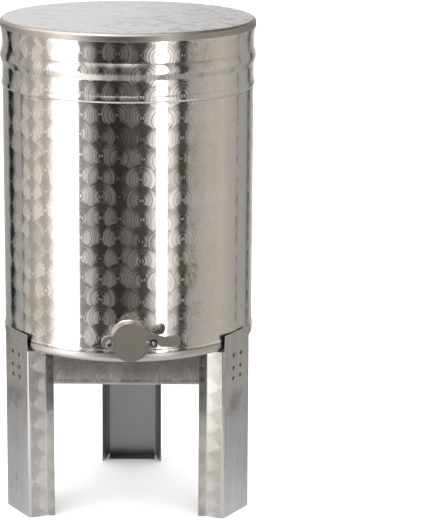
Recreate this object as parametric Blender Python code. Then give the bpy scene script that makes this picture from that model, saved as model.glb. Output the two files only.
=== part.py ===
"""Small stainless steel storage tank with a lift-off lid and a swinging gate tap,
standing in a three-legged sheet metal stand.

Units are metres and +Z is up. The origin lies on the floor, under the middle of the
whole object's box. The tap faces the front, which is -Y.
"""
import math

import bmesh
import bpy
from mathutils import Matrix, Vector

# Clearance between pieces that touch
GAP = 0.0003

# Tank
TANK_AXIS_Y = 0.0203
TANK_RADIUS = 0.1850
WALL_THICKNESS = 0.0010
WALL_TOP = 0.7295
WALL_BOTTOM = 0.2688
RIM_FLARE = 0.0014
RIM_FLARE_LOW = 0.7000
RIM_FLARE_HIGH = 0.7240
WIDE_BEAD = {"middle": 0.6765, "half_height": 0.0125, "rise": 0.0032}
NARROW_BEAD = {"middle": 0.6362, "half_height": 0.0046, "rise": 0.0019}
FOOT_FLARE = 0.0012
FOOT_FLARE_TOP = 0.2775
FOOT_FLARE_LOW = 0.2705
TURN_STEPS = 72

# Bottom pan
PAN_THICKNESS = 0.0010
PAN_RIM_TOP = 0.2718
PAN_SHOULDER = 0.2685
PAN_OUTER_RADIUS = 0.1858
PAN_CORNER_RADIUS = 0.0070
PAN_REST_WIDTH = 0.0100
PAN_RECESS = 0.0040
PAN_RECESS_SLOPE = 0.0060

# Lid
LID_TOP = 0.7308
LID_THICKNESS = 0.0010
LID_SKIRT_BOTTOM = 0.7194
LID_RADIUS = 0.1878
LID_SKIRT_FLARE = 0.0006
LID_EDGE_RADIUS = 0.0022

# Stand: three folded legs and the aprons between them
SHEET = 0.0012
LEG_ANGLES = {"leg_back": 90.0, "leg_front_left": 210.0, "leg_front_right": 330.0}
APRON_ANGLES = {"apron_front": 270.0, "apron_right": 30.0, "apron_left": 150.0}
WEB_DISTANCE = 0.1878
WEB_WIDTH = 0.0765
WEB_TOP = 0.2795
FLANGE_TOP = 0.2550
FLANGE_DEPTH = 0.0273
FLANGE_FLARE = 0.0027
LIP_LENGTH = 0.0120
FOOT_DEPTH = 0.0285
FOOT_RELIEF = 0.0008
APRON_BOTTOM = 0.2027
APRON_TOP = 0.2530
APRON_TAB = 0.0210

# Gate tap: places are (right, up) from the middle of its bore, and outward distances
# from the tank's wall
GATE_AZIMUTH = math.radians(2.0)
GATE_FACING = math.radians(6.5)
GATE_HEIGHT = 0.2935
BORE_RADIUS = 0.0215
NECK_RADIUS = 0.0241
NECK_END = 0.0248
PLATE_THICKNESS = 0.0040
PLATE_RADIUS = 0.0265
EAR_OFFSET = 0.0315
EAR_RADIUS = 0.0105
BLADE_THICKNESS = 0.0030
BLADE_RADIUS = 0.0280
BLADE_EAR_RADIUS = 0.0100
BLADE_LOBE_RADIUS = 0.0128
HANDLE_REACH = 0.0708
HANDLE_END_RADIUS = 0.0086
HANDLE_END_UP = 0.0013
HANDLE_WAIST = (0.0500, 0.0076)
NOTCH_HALF_WIDTH = 0.0039
SHANK_RADIUS = 0.0030
HOLE_RADIUS = 0.0034
WASHER_RADIUS = 0.0062
WASHER_THICKNESS = 0.0012
NUT_ACROSS_FLATS = 0.0100
NUT_THICKNESS = 0.0050
HEAD_THICKNESS = 0.0040
BOLT_END_PAST_NUT = 0.0012
WING_HUB_BASE_RADIUS = 0.0056
WING_HUB_TOP_RADIUS = 0.0046
WING_HUB_HEIGHT = 0.0070
WING_THICKNESS = 0.0022
WING_TURN = math.radians(-22.0)
STUD_END_PAST_HUB = 0.0010

PLATE_BACK = NECK_END + GAP
PLATE_FRONT = PLATE_BACK + PLATE_THICKNESS
BLADE_BACK = PLATE_FRONT + GAP
BLADE_FRONT = BLADE_BACK + BLADE_THICKNESS
WASHER_BACK = BLADE_FRONT + GAP
WASHER_FRONT = WASHER_BACK + WASHER_THICKNESS
NUT_BACK = WASHER_FRONT + GAP

STEEL_SWIRLED = {"colour": (0.60, 0.58, 0.55), "roughness": 0.28}
STEEL_SMOOTH = {"colour": (0.68, 0.67, 0.65), "roughness": 0.20}
STEEL_STAND = {"colour": (0.55, 0.54, 0.52), "roughness": 0.32}
STEEL_MATTE = {"colour": (0.43, 0.41, 0.39), "roughness": 0.55}
STEEL_ZINC = {"colour": (0.66, 0.65, 0.63), "roughness": 0.25}


def clear_scene():
    """Remove every object, so that the file holds only the tank."""
    for item in list(bpy.data.objects):
        bpy.data.objects.remove(item, do_unlink=True)


def steel(name, look):
    """Make one piece's own metal material."""
    material = bpy.data.materials.new(name)
    material.use_nodes = True
    shader = material.node_tree.nodes["Principled BSDF"]
    shader.inputs["Base Color"].default_value = (*look["colour"], 1.0)
    shader.inputs["Roughness"].default_value = look["roughness"]
    shader.inputs["Metallic"].default_value = 1.0
    return material


def add_empty(name, location, rotation=(0.0, 0.0, 0.0), parent=None):
    """Add an empty that carries pieces."""
    empty = bpy.data.objects.new(name, None)
    empty.location = location
    empty.rotation_euler = rotation
    empty.parent = parent
    bpy.context.scene.collection.objects.link(empty)
    return empty


def add_piece(name, bm, look, parent, location=(0.0, 0.0, 0.0), rotation=(0.0, 0.0, 0.0)):
    """Turn a finished bmesh into a named object; look is None for a cutter."""
    bmesh.ops.recalc_face_normals(bm, faces=bm.faces)
    mesh = bpy.data.meshes.new(name)
    bm.to_mesh(mesh)
    bm.free()
    mesh.shade_smooth()
    mesh.set_sharp_from_angle(angle=math.radians(30.0))
    piece = bpy.data.objects.new(name, mesh)
    piece.parent = parent
    piece.location = location
    piece.rotation_euler = rotation
    bpy.context.scene.collection.objects.link(piece)
    if look is None:
        piece.hide_render = True
        piece.display_type = "WIRE"
    else:
        mesh.materials.append(steel(name, look))
    return piece


def add_boolean(piece, cutter, operation="DIFFERENCE"):
    """Cut a piece with, or join it to, a helper object."""
    modifier = piece.modifiers.new(cutter.name, "BOOLEAN")
    modifier.object = cutter
    modifier.operation = operation
    modifier.solver = "EXACT"


def turned(profile, steps=TURN_STEPS):
    """Turn a closed loop of (radius, height) points about the Z axis."""
    bm = bmesh.new()
    verts = [bm.verts.new((radius, 0.0, height)) for radius, height in profile]
    edges = [bm.edges.new((verts[i - 1], verts[i])) for i in range(len(verts))]
    bmesh.ops.spin(
        bm, geom=verts + edges, axis=(0.0, 0.0, 1.0), cent=(0.0, 0.0, 0.0),
        angle=2.0 * math.pi, steps=steps, use_merge=True,
    )
    on_axis = [vert for vert in bm.verts if vert.co.xy.length < 1e-7]
    bmesh.ops.remove_doubles(bm, verts=on_axis, dist=1e-6)
    bmesh.ops.dissolve_degenerate(bm, dist=1e-7, edges=bm.edges)
    return bm


def prism(outline, low, high):
    """Extrude a closed outline of (x, y) points from one height to another."""
    bm = bmesh.new()
    verts = [bm.verts.new((x, y, low)) for x, y in outline]
    face = bm.faces.new(verts)
    extruded = bmesh.ops.extrude_face_region(bm, geom=[face])
    moved = [item for item in extruded["geom"] if isinstance(item, bmesh.types.BMVert)]
    bmesh.ops.translate(bm, verts=moved, vec=(0.0, 0.0, high - low))
    return bm


def arc(centre, radius, start, end, steps):
    """Points along an arc, angles in degrees, both ends included."""
    points = []
    for i in range(steps + 1):
        angle = math.radians(start + (end - start) * i / steps)
        points.append((centre[0] + radius * math.cos(angle), centre[1] + radius * math.sin(angle)))
    return points


def circle(centre, radius, steps):
    """Points of a full circle."""
    return arc(centre, radius, 0.0, 360.0, steps)[:-1]


def folded_sheet(line, thickness):
    """Close an open line of outer points with its copy, one sheet thickness to the left."""
    points = [Vector(point) for point in line]
    inner = []
    for i, point in enumerate(points):
        before = (point - points[i - 1]).normalized() if i > 0 else None
        after = (points[i + 1] - point).normalized() if i < len(points) - 1 else None
        first = before or after
        second = after or before
        normal = (first.orthogonal() + second.orthogonal()).normalized()
        inner.append(point + normal * thickness / normal.dot(first.orthogonal()))
    return [tuple(point) for point in points] + [tuple(point) for point in reversed(inner)]


def smooth_step(value, low, high):
    """Rise from 0 to 1 between two heights, or fall where high is under low."""
    share = min(max((value - low) / (high - low), 0.0), 1.0)
    return share * share * (3.0 - 2.0 * share)


def bead_rise(height, bead):
    """How far a rolled bead stands out of the wall at one height."""
    share = (height - bead["middle"]) / bead["half_height"]
    return bead["rise"] * max(0.0, 1.0 - share * share)


def wall_radius(height):
    """Outer radius of the wall: two beads, a flared rim and a flared foot."""
    flare = RIM_FLARE * smooth_step(height, RIM_FLARE_LOW, RIM_FLARE_HIGH - 0.008)
    tuck = RIM_FLARE * smooth_step(height, RIM_FLARE_HIGH, WALL_TOP)
    foot = FOOT_FLARE * smooth_step(height, FOOT_FLARE_TOP, FOOT_FLARE_LOW)
    beads = bead_rise(height, WIDE_BEAD) + bead_rise(height, NARROW_BEAD)
    return TANK_RADIUS + flare - tuck + foot + beads


def wall_heights():
    """Heights of the wall's rings, from the top down: close together only where it curves."""
    heights = [WALL_TOP, 0.7275, RIM_FLARE_HIGH, 0.7150, 0.7080, RIM_FLARE_LOW]
    for bead, shares in ((WIDE_BEAD, (1.0, 0.5, 0.0, -0.5, -1.0)), (NARROW_BEAD, (1.0, 0.0, -1.0))):
        heights += [bead["middle"] + share * bead["half_height"] for share in shares]
    return heights + [FOOT_FLARE_TOP, 0.2740, FOOT_FLARE_LOW, WALL_BOTTOM]


def make_tank_wall(axis, gate):
    """Rolled wall with its two beads and the hole behind the tap."""
    outer = [(wall_radius(height), height) for height in wall_heights()]
    inner = [(radius - WALL_THICKNESS, height) for radius, height in reversed(outer)]
    wall = add_piece("tank_wall", turned(outer + inner), STEEL_SWIRLED, axis)
    hole = prism(circle((0.0, 0.0), BORE_RADIUS, 32), -0.030, 0.010)
    add_boolean(wall, add_piece("cut_wall_hole", hole, None, gate))


def make_tank_bottom(axis):
    """Shallow pan: a rim inside the wall, a round corner to rest on and a raised middle."""
    inset = TANK_RADIUS - WALL_THICKNESS - GAP
    rest = FLANGE_TOP + GAP
    corner_x = PAN_OUTER_RADIUS - PAN_CORNER_RADIUS
    under = [(inset, PAN_RIM_TOP), (inset, PAN_SHOULDER), (PAN_OUTER_RADIUS, PAN_SHOULDER)]
    under += arc((corner_x, rest + PAN_CORNER_RADIUS), PAN_CORNER_RADIUS, 0.0, -90.0, 5)
    recess_x = corner_x - PAN_REST_WIDTH
    under += [(recess_x, rest), (recess_x - PAN_RECESS_SLOPE, rest + PAN_RECESS)]
    under += [(0.0, rest + PAN_RECESS)]
    floor = rest + PAN_THICKNESS
    inner_corner = PAN_CORNER_RADIUS - PAN_THICKNESS
    over = [(0.0, floor + PAN_RECESS), (recess_x - PAN_RECESS_SLOPE, floor + PAN_RECESS)]
    over += [(recess_x, floor)]
    over += arc((corner_x, rest + PAN_CORNER_RADIUS), inner_corner, -90.0, -30.0, 3)
    over += [(inset - PAN_THICKNESS, PAN_SHOULDER - 0.0040), (inset - PAN_THICKNESS, PAN_RIM_TOP)]
    add_piece("tank_bottom", turned(under + over), STEEL_SMOOTH, axis)


def make_lid(axis):
    """Flat lift-off lid with a short skirt outside the wall's rim."""
    edge = LID_RADIUS - LID_EDGE_RADIUS
    outer = [(0.0, LID_TOP)]
    outer += arc((edge, LID_TOP - LID_EDGE_RADIUS), LID_EDGE_RADIUS, 90.0, 0.0, 4)
    outer += [(LID_RADIUS + LID_SKIRT_FLARE, LID_SKIRT_BOTTOM)]
    inner_bottom = LID_RADIUS + LID_SKIRT_FLARE - LID_THICKNESS
    inner_edge = LID_RADIUS - LID_THICKNESS
    inner = [(inner_bottom, LID_SKIRT_BOTTOM), (inner_edge, LID_TOP - LID_EDGE_RADIUS)]
    inner += [(edge, LID_TOP - LID_THICKNESS), (0.0, LID_TOP - LID_THICKNESS)]
    lid_origin = add_empty("lid_lift_axis", (0.0, 0.0, 0.0), parent=axis)
    add_piece("lid", turned(outer + inner), STEEL_SWIRLED, lid_origin)


def leg_line():
    """Outer line of a leg in plan, seen with its web at -Y: lip, flange, web, flange, lip."""
    half = WEB_WIDTH / 2.0
    corner = (half, -WEB_DISTANCE)
    fold = (half + FLANGE_FLARE, FLANGE_DEPTH - WEB_DISTANCE)
    lip_turn = math.radians(60.0)
    lip_end = (fold[0] + LIP_LENGTH * math.cos(lip_turn), fold[1] + LIP_LENGTH * math.sin(lip_turn))
    right = [corner, fold, lip_end]
    left = [(-x, y) for x, y in reversed(right)]
    return left + right


def make_leg(name, angle, axis):
    """One leg: a folded channel, its taller web and the foot plate turned in at the floor."""
    turn = (0.0, 0.0, math.radians(angle - 270.0))
    channel = prism(folded_sheet(leg_line(), SHEET), 0.0, FLANGE_TOP)
    leg = add_piece(name, channel, STEEL_STAND, axis, rotation=turn)
    half = WEB_WIDTH / 2.0
    outer = -WEB_DISTANCE
    inner = outer + SHEET
    web = prism([(-half, outer), (half, outer), (half, inner), (-half, inner)], FLANGE_TOP - 0.02, WEB_TOP)
    add_boolean(leg, add_piece(f"join_{name}_web", web, None, axis, rotation=turn), "UNION")
    foot_half = half - SHEET - FOOT_RELIEF
    back = outer + FOOT_DEPTH
    start = outer + SHEET / 2.0
    foot = prism([(-foot_half, start), (foot_half, start), (foot_half, back), (-foot_half, back)], 0.0, SHEET)
    add_boolean(leg, add_piece(f"join_{name}_foot", foot, None, axis, rotation=turn), "UNION")


def lip_distance():
    """Distance of the lips' outer faces from the tank's axis."""
    fold_x = WEB_WIDTH / 2.0 + FLANGE_FLARE
    fold_y = WEB_DISTANCE - FLANGE_DEPTH
    return fold_x * math.cos(math.radians(30.0)) + fold_y * math.sin(math.radians(30.0))


def make_apron(name, angle, axis):
    """One apron behind two lips, its ends folded flat against the insides of two webs."""
    run = lip_distance() - SHEET - GAP
    web = WEB_DISTANCE - SHEET - GAP
    corner_x = (web - run * math.sin(math.radians(30.0))) / math.cos(math.radians(30.0))
    tab_x = corner_x + APRON_TAB * math.cos(math.radians(60.0))
    tab_y = -run + APRON_TAB * math.sin(math.radians(60.0))
    line = [(-tab_x, tab_y), (-corner_x, -run), (corner_x, -run), (tab_x, tab_y)]
    sheet = prism(folded_sheet(line, SHEET), APRON_BOTTOM, APRON_TOP)
    add_piece(name, sheet, STEEL_STAND, axis, rotation=(0.0, 0.0, math.radians(angle - 270.0)))


def make_gate_neck(axis, gate):
    """Short pipe from the wall to the tap's plate, cut to the wall's curve."""
    neck = add_piece("gate_neck", prism(circle((0.0, 0.0), NECK_RADIUS, 40), -0.012, NECK_END), STEEL_SMOOTH, gate)
    bore = prism(circle((0.0, 0.0), BORE_RADIUS, 32), -0.020, 0.040)
    add_boolean(neck, add_piece("cut_neck_bore", bore, None, gate))
    heights = wall_heights()
    around = [(wall_radius(height) + GAP, height) for height in heights]
    around = [(0.0, heights[0])] + around + [(around[-1][0], 0.2600), (0.0, 0.2600)]
    add_boolean(neck, add_piece("cut_neck_saddle", turned(around), None, axis))


def plate_outline():
    """Ring with an ear on each side."""
    reach = (EAR_OFFSET ** 2 + PLATE_RADIUS ** 2 - EAR_RADIUS ** 2) / (2.0 * EAR_OFFSET)
    rise = math.sqrt(PLATE_RADIUS ** 2 - reach ** 2)
    ring = math.degrees(math.atan2(rise, reach))
    ear = math.degrees(math.atan2(rise, reach - EAR_OFFSET))
    points = arc((0.0, 0.0), PLATE_RADIUS, ring, 180.0 - ring, 16)
    points += arc((-EAR_OFFSET, 0.0), EAR_RADIUS, 180.0 - ear, 180.0 + ear, 12)[1:]
    points += arc((0.0, 0.0), PLATE_RADIUS, 180.0 + ring, 360.0 - ring, 16)[1:]
    points += arc((EAR_OFFSET, 0.0), EAR_RADIUS, -ear, ear, 12)[1:-1]
    return points


def make_gate_plate(gate):
    """Plate on the neck's end, with the bore, the pivot's hole and the stud's hole."""
    plate = add_piece("gate_plate", prism(plate_outline(), PLATE_BACK, PLATE_FRONT), STEEL_SMOOTH, gate)
    holes = (("bore", 0.0, BORE_RADIUS, 32), ("pivot", -EAR_OFFSET, HOLE_RADIUS, 16), ("stud", EAR_OFFSET, HOLE_RADIUS, 16))
    for name, x, radius, steps in holes:
        hole = prism(circle((x, 0.0), radius, steps), PLATE_BACK - 0.002, PLATE_FRONT + 0.002)
        add_boolean(plate, add_piece(f"cut_plate_{name}", hole, None, gate))


def blade_outline():
    """Blade from its pivot: pivot ear, disc, clamp lobe, waisted handle and open notch."""
    pivot = (0.0, 0.0)
    disc = (EAR_OFFSET, 0.0)
    stud = (2.0 * EAR_OFFSET, 0.0)
    handle_end = (EAR_OFFSET + HANDLE_REACH - HANDLE_END_RADIUS, HANDLE_END_UP)
    waist = (EAR_OFFSET + HANDLE_WAIST[0], HANDLE_WAIST[1])
    handle_low = HANDLE_END_UP - HANDLE_END_RADIUS
    notch_left = stud[0] - NOTCH_HALF_WIDTH
    notch_right = stud[0] + NOTCH_HALF_WIDTH
    left_low = -math.degrees(math.asin(-handle_low / BLADE_RADIUS))
    points = arc(pivot, BLADE_EAR_RADIUS, 61.0, 299.0, 14)
    points += arc(disc, BLADE_RADIUS, 198.0, 360.0 + left_low - 1.0, 22)[1:]
    points += [(notch_left, -0.0015)]
    points += arc(stud, NOTCH_HALF_WIDTH, 180.0, 0.0, 8)
    points += [(notch_right, handle_low)]
    points += arc(handle_end, HANDLE_END_RADIUS, -90.0, 82.0, 9)
    points += [(waist[0] + 0.008, waist[1] + 0.0008), waist, (waist[0] - 0.006, waist[1] + 0.0009)]
    points += arc(stud, BLADE_LOBE_RADIUS, 52.0, 116.0, 5)
    points += arc(disc, BLADE_RADIUS, 24.5, 162.0, 20)[1:-1]
    return points


def make_gate_blade(pivot):
    """Swinging blade that shuts the bore, with its handle."""
    blade = add_piece("gate_blade", prism(blade_outline(), BLADE_BACK, BLADE_FRONT), STEEL_MATTE, pivot)
    hole = prism(circle((0.0, 0.0), HOLE_RADIUS, 16), BLADE_BACK - 0.002, BLADE_FRONT + 0.002)
    add_boolean(blade, add_piece("cut_blade_pivot", hole, None, pivot))


def ring(inner, outer, low, high, steps=20):
    """A washer-shaped turned ring."""
    return turned([(inner, low), (outer, low), (outer, high), (inner, high)], steps)


def make_bolt(name, end, gate, x):
    """Hexagon head behind the plate and a plain shank through it."""
    head_front = PLATE_BACK - GAP
    flats = NUT_ACROSS_FLATS / math.sqrt(3.0)
    head = prism(circle((0.0, 0.0), flats, 6), head_front - HEAD_THICKNESS, head_front)
    bolt = add_piece(name, head, STEEL_ZINC, gate, location=(x, 0.0, 0.0))
    shank = prism(circle((0.0, 0.0), SHANK_RADIUS, 16), head_front - HEAD_THICKNESS / 2.0, end)
    join = add_piece(f"join_{name}_shank", shank, None, gate, location=(x, 0.0, 0.0))
    add_boolean(bolt, join, "UNION")


def make_pivot(gate):
    """Bolt, washer and nut that the blade swings on."""
    place = (-EAR_OFFSET, 0.0, 0.0)
    nut_front = NUT_BACK + NUT_THICKNESS
    make_bolt("pivot_bolt", nut_front + BOLT_END_PAST_NUT, gate, place[0])
    washer = ring(HOLE_RADIUS, WASHER_RADIUS, WASHER_BACK, WASHER_FRONT)
    add_piece("pivot_washer", washer, STEEL_ZINC, gate, location=place)
    hexagon = prism(circle((0.0, 0.0), NUT_ACROSS_FLATS / math.sqrt(3.0), 6), NUT_BACK, nut_front)
    nut = add_piece("pivot_nut", hexagon, STEEL_ZINC, gate, location=place)
    hole = prism(circle((0.0, 0.0), HOLE_RADIUS, 16), NUT_BACK - 0.002, nut_front + 0.002)
    add_boolean(nut, add_piece("cut_pivot_nut", hole, None, gate, location=place))


def wing_outline():
    """One wing in its own plane: x is the distance from the nut's axis, y the height."""
    return [
        (0.0038, 0.0008), (0.0062, 0.0014), (0.0092, 0.0038), (0.0116, 0.0072),
        (0.0120, 0.0094), (0.0110, 0.0110), (0.0092, 0.0108), (0.0072, 0.0084),
        (0.0056, 0.0068), (0.0038, 0.0064),
    ]


def make_clamp(gate):
    """Stud through the right ear, its washer and the wing nut that clamps the blade."""
    place = (EAR_OFFSET, 0.0, 0.0)
    hub_top = NUT_BACK + WING_HUB_HEIGHT
    make_bolt("clamp_stud", hub_top + STUD_END_PAST_HUB, gate, place[0])
    nut_axis = add_empty("wing_nut_axis", place, (0.0, 0.0, WING_TURN), gate)
    washer = ring(HOLE_RADIUS, WASHER_RADIUS, WASHER_BACK, WASHER_FRONT)
    add_piece("clamp_washer", washer, STEEL_ZINC, gate, location=place)
    hub = turned([
        (HOLE_RADIUS, NUT_BACK), (WING_HUB_BASE_RADIUS, NUT_BACK),
        (WING_HUB_TOP_RADIUS, hub_top), (HOLE_RADIUS, hub_top),
    ], 20)
    wing_nut = add_piece("wing_nut", hub, STEEL_ZINC, nut_axis)
    for side, turn in (("right", 0.0), ("left", math.pi)):
        wing = prism(wing_outline(), -WING_THICKNESS / 2.0, WING_THICKNESS / 2.0)
        stand_up = Matrix.Rotation(math.pi / 2.0, 4, "X")
        bmesh.ops.transform(wing, matrix=stand_up, verts=wing.verts)
        join = add_piece(
            f"join_wing_{side}", wing, None, nut_axis,
            location=(0.0, 0.0, NUT_BACK), rotation=(0.0, 0.0, turn),
        )
        add_boolean(wing_nut, join, "UNION")


def main():
    """Build the whole object."""
    clear_scene()
    axis = add_empty("tank_axis", (0.0, TANK_AXIS_Y, 0.0))
    gate_place = (
        TANK_RADIUS * math.sin(GATE_AZIMUTH),
        -TANK_RADIUS * math.cos(GATE_AZIMUTH),
        GATE_HEIGHT,
    )
    gate = add_empty("gate_axis", gate_place, (math.pi / 2.0, 0.0, GATE_FACING), axis)
    pivot = add_empty("gate_pivot_axis", (-EAR_OFFSET, 0.0, 0.0), parent=gate)
    make_tank_wall(axis, gate)
    make_tank_bottom(axis)
    make_lid(axis)
    for name, angle in LEG_ANGLES.items():
        make_leg(name, angle, axis)
    for name, angle in APRON_ANGLES.items():
        make_apron(name, angle, axis)
    make_gate_neck(axis, gate)
    make_gate_plate(gate)
    make_gate_blade(pivot)
    make_pivot(gate)
    make_clamp(gate)


main()
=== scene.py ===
"""Dressed model of a small stainless steel storage tank with a lift-off lid and a swinging
gate tap, on a folded sheet metal stand.

Sizes are metres and +Z is up. It is laid out as an add-on and run as a script: it loads the
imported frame, builds each piece in its place over the frame's solids and sets up the studio.
"""

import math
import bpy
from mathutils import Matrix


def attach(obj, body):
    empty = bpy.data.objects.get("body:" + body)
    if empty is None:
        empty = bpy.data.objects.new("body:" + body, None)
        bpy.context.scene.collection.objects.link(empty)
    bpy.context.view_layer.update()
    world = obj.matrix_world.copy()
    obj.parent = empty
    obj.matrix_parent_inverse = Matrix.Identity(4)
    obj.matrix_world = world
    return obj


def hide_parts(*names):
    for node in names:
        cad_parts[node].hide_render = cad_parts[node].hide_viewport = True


bl_info = {
    "name": "Storage Tank with Gate Tap",
    "version": (1, 0, 0),
    "blender": (4, 5, 0),
    "location": "3D View > Sidebar > Storage Tank",
    "description": "Builds a swirl-polished steel tank, its lid, its stand and its gate tap",
    "category": "Object",
}

import bmesh
import bpy
from bpy.props import FloatProperty, FloatVectorProperty, PointerProperty
from mathutils import Matrix, Vector

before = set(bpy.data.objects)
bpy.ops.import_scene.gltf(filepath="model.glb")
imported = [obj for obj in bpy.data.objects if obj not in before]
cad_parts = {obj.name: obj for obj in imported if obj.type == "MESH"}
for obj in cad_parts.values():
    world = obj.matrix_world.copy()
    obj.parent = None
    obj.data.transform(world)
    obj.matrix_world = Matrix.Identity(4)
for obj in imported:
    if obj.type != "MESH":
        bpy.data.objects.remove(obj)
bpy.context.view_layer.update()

# Tank
AXIS_Y = 0.0203
TANK_RADIUS = 0.1850
WALL_THICKNESS = 0.0010
WALL_TOP = 0.7295
WALL_BOTTOM = 0.2690
RIM_FLARE = 0.0014
RIM_FLARE_LOW = 0.7000
RIM_FLARE_FULL = 0.7160
RIM_TUCK_LOW = 0.7240
FOOT_FLARE = 0.0013
FOOT_FLARE_TOP = 0.2761
FOOT_FLARE_LOW = 0.2716
WIDE_BEAD = {"top": 0.6890, "crest": 0.6755, "foot": 0.6640, "rise": 0.0032}
NARROW_BEAD = {"top": 0.6428, "crest": 0.6350, "foot": 0.6326, "rise": 0.0017}

# How many steps a full turn has on round pieces
ROUND_STEPS = 360
NECK_STEPS = 96
BORE_STEPS = 64
NUT_STEPS = 48
WASHER_STEPS = 40
SCREW_STEPS = 28
HOLE_STEPS = 24

# Pan under the wall
PAN_RIM_TOP = 0.2718
PAN_SHOULDER = 0.2683
PAN_RADIUS = 0.1858
PAN_CORNER = 0.0070
PAN_LOW = 0.2553
PAN_THICKNESS = 0.0010
PAN_SHOULDER_ROUND = 0.0006
PAN_REST_WIDTH = 0.0100
PAN_RECESS = 0.0040
PAN_RECESS_SLOPE = 0.0060

# Lid
LID_TOP = 0.7308
LID_THICKNESS = 0.0010
LID_SKIRT_BOTTOM = 0.7194
LID_RADIUS = 0.1878
LID_SKIRT_FLARE = 0.0006
LID_EDGE = 0.0040
LID_EDGE_BEND = 0.0016

# Stand
SHEET = 0.0012
BEND = 0.0040
LEG_TURNS = {"leg_back": 180.0, "leg_front_left": -60.0, "leg_front_right": 60.0}
APRON_TURNS = {"apron_front": 0.0, "apron_right": 120.0, "apron_left": -120.0}
WEB_DISTANCE = 0.1878
WEB_WIDTH = 0.0765
WEB_TOP = 0.2795
FLANGE_TOP = 0.2550
FLANGE_DEPTH = 0.0273
FLANGE_FLARE = 0.0027
LEG_FOLD = (WEB_WIDTH / 2.0 + FLANGE_FLARE, FLANGE_DEPTH - WEB_DISTANCE)
LIP_LENGTH = 0.0120
LIP_TURN = math.radians(60.0)
FOOT_DEPTH = 0.0285
FOOT_RELIEF = 0.0008
FOOT_UPTURN = 0.0042
APRON_BOTTOM = 0.2027
APRON_TOP = 0.2530
APRON_TAB = 0.0210
TOUCH_GAP = 0.0003
SHEET_BEVEL = 0.0003
# Finishes of a folded sheet's faces, by their place in its list of materials
OUTER, INNER, CUT, WEB, LIP, CREASE = range(6)

# Spot welds
WEB_WELD_HEIGHTS = (0.2440, 0.2260, 0.2100)
WEB_WELD_ACROSS = 0.0105
LIP_WELD_HEIGHTS = (0.2460, 0.2280, 0.2100)
WELD_RADIUS = 0.0032
WELD_MIDDLE_SHARE = 0.42
WELD_SINK = 0.0002
# How far the marks stray from their row, to the side and up
WELD_STRAY = (0.0012, 0.0010)
# Section of a weld mark: share of its radius, and height
WELD_RINGS = (
    (0.0, 0.00003), (0.34, 0.00004), (0.50, 0.00014), (0.66, 0.00013), (0.84, 0.00006),
    (1.0, 0.00003), (1.0, -WELD_SINK), (0.0, -WELD_SINK),
)

# Gate tap: (right, up) from the middle of its bore, and outward from the tank's wall
GATE_AZIMUTH = math.radians(2.0)
GATE_FACING = math.radians(6.5)
GATE_HEIGHT = 0.2935
BORE_RADIUS = 0.0215
BORE_CUT = (-0.0300, 0.0100)
NECK_RADIUS = 0.0241
NECK_FRONT = 0.0248
PLATE_BACK = 0.0251
PLATE_FRONT = 0.0291
PLATE_RADIUS = 0.0265
EAR_OFFSET = 0.0315
EAR_RADIUS = 0.0105
BLADE_BACK = 0.0294
BLADE_FRONT = 0.0324
BLADE_RADIUS = 0.0280
BLADE_EAR_RADIUS = 0.0100
BLADE_LOBE_RADIUS = 0.0128
HANDLE_REACH = 0.0708
HANDLE_END_RADIUS = 0.0086
HANDLE_END_UP = 0.0013
HANDLE_WAIST = (0.0500, 0.0076)
HANDLE_WAIST_CURVE = (
    (0.0080, 0.0008), (0.0040, 0.0002), (0.0, 0.0), (-0.0030, 0.0003), (-0.0060, 0.0009),
)
NOTCH_HALF_WIDTH = 0.0039
SHANK_RADIUS = 0.0030
HOLE_RADIUS = 0.0034
WASHER_BACK = 0.0327
WASHER_FRONT = 0.0339
WASHER_RADIUS = 0.0062
NUT_BACK = 0.0342
NUT_HALF_FLATS = 0.0050
NUT_THICKNESS = 0.0050
HEAD_BACK = 0.0208
HEAD_FRONT = 0.0248
PIVOT_END = 0.0404
STUD_END = 0.0422
WING_HUB_RADIUS = 0.0056
WING_HUB_TOP_RADIUS = 0.0046
WING_HUB_HEIGHT = 0.0070
WING_THICKNESS = 0.0022
WING_TURN = math.radians(-22.0)
THREAD_PITCH = 0.0010
THREAD_DEPTH = 0.0004

# Rings of the tap's neck, from inside round its front to the wall: radius, outward place, which
# is None on the wall, and how far beyond that place the ring lies
NECK_RINGS = (
    (BORE_RADIUS, None, -0.0008), (BORE_RADIUS, NECK_FRONT, -0.0004),
    (BORE_RADIUS + 0.0004, NECK_FRONT, 0.0), (NECK_RADIUS - 0.0005, NECK_FRONT, 0.0),
    (NECK_RADIUS, NECK_FRONT, -0.0005), (NECK_RADIUS, None, 0.0022),
    (NECK_RADIUS + 0.0003, None, 0.0011), (NECK_RADIUS + 0.0009, None, 0.0004),
    (NECK_RADIUS + 0.0020, None, 0.0), (NECK_RADIUS + 0.0021, None, -0.0003),
)
# One wing in its own plane: distance from the nut's axis, and height
WING_OUTLINE = (
    (0.0030, 0.0008), (0.0050, 0.0009), (0.0062, 0.0014), (0.0078, 0.0024), (0.0092, 0.0038),
    (0.0105, 0.0054), (0.0116, 0.0072), (0.0120, 0.0084), (0.0120, 0.0096), (0.0117, 0.0105),
    (0.0110, 0.0110), (0.0101, 0.0111), (0.0092, 0.0107), (0.0082, 0.0096), (0.0072, 0.0084),
    (0.0064, 0.0075), (0.0056, 0.0069), (0.0044, 0.0066), (0.0030, 0.0064),
)

# Where the columns of discs start on the wall, by what share of their spacing discs stray
# across and along, and from where to where in x the wall's left side is painted lighter, a painted
# highlight
SWIRL_START = -0.01025
DISC_STRAY = (0.14, 0.12, 0.0)
PAINTED_LIGHT_SIDE = (-0.105, -0.135)
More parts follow.
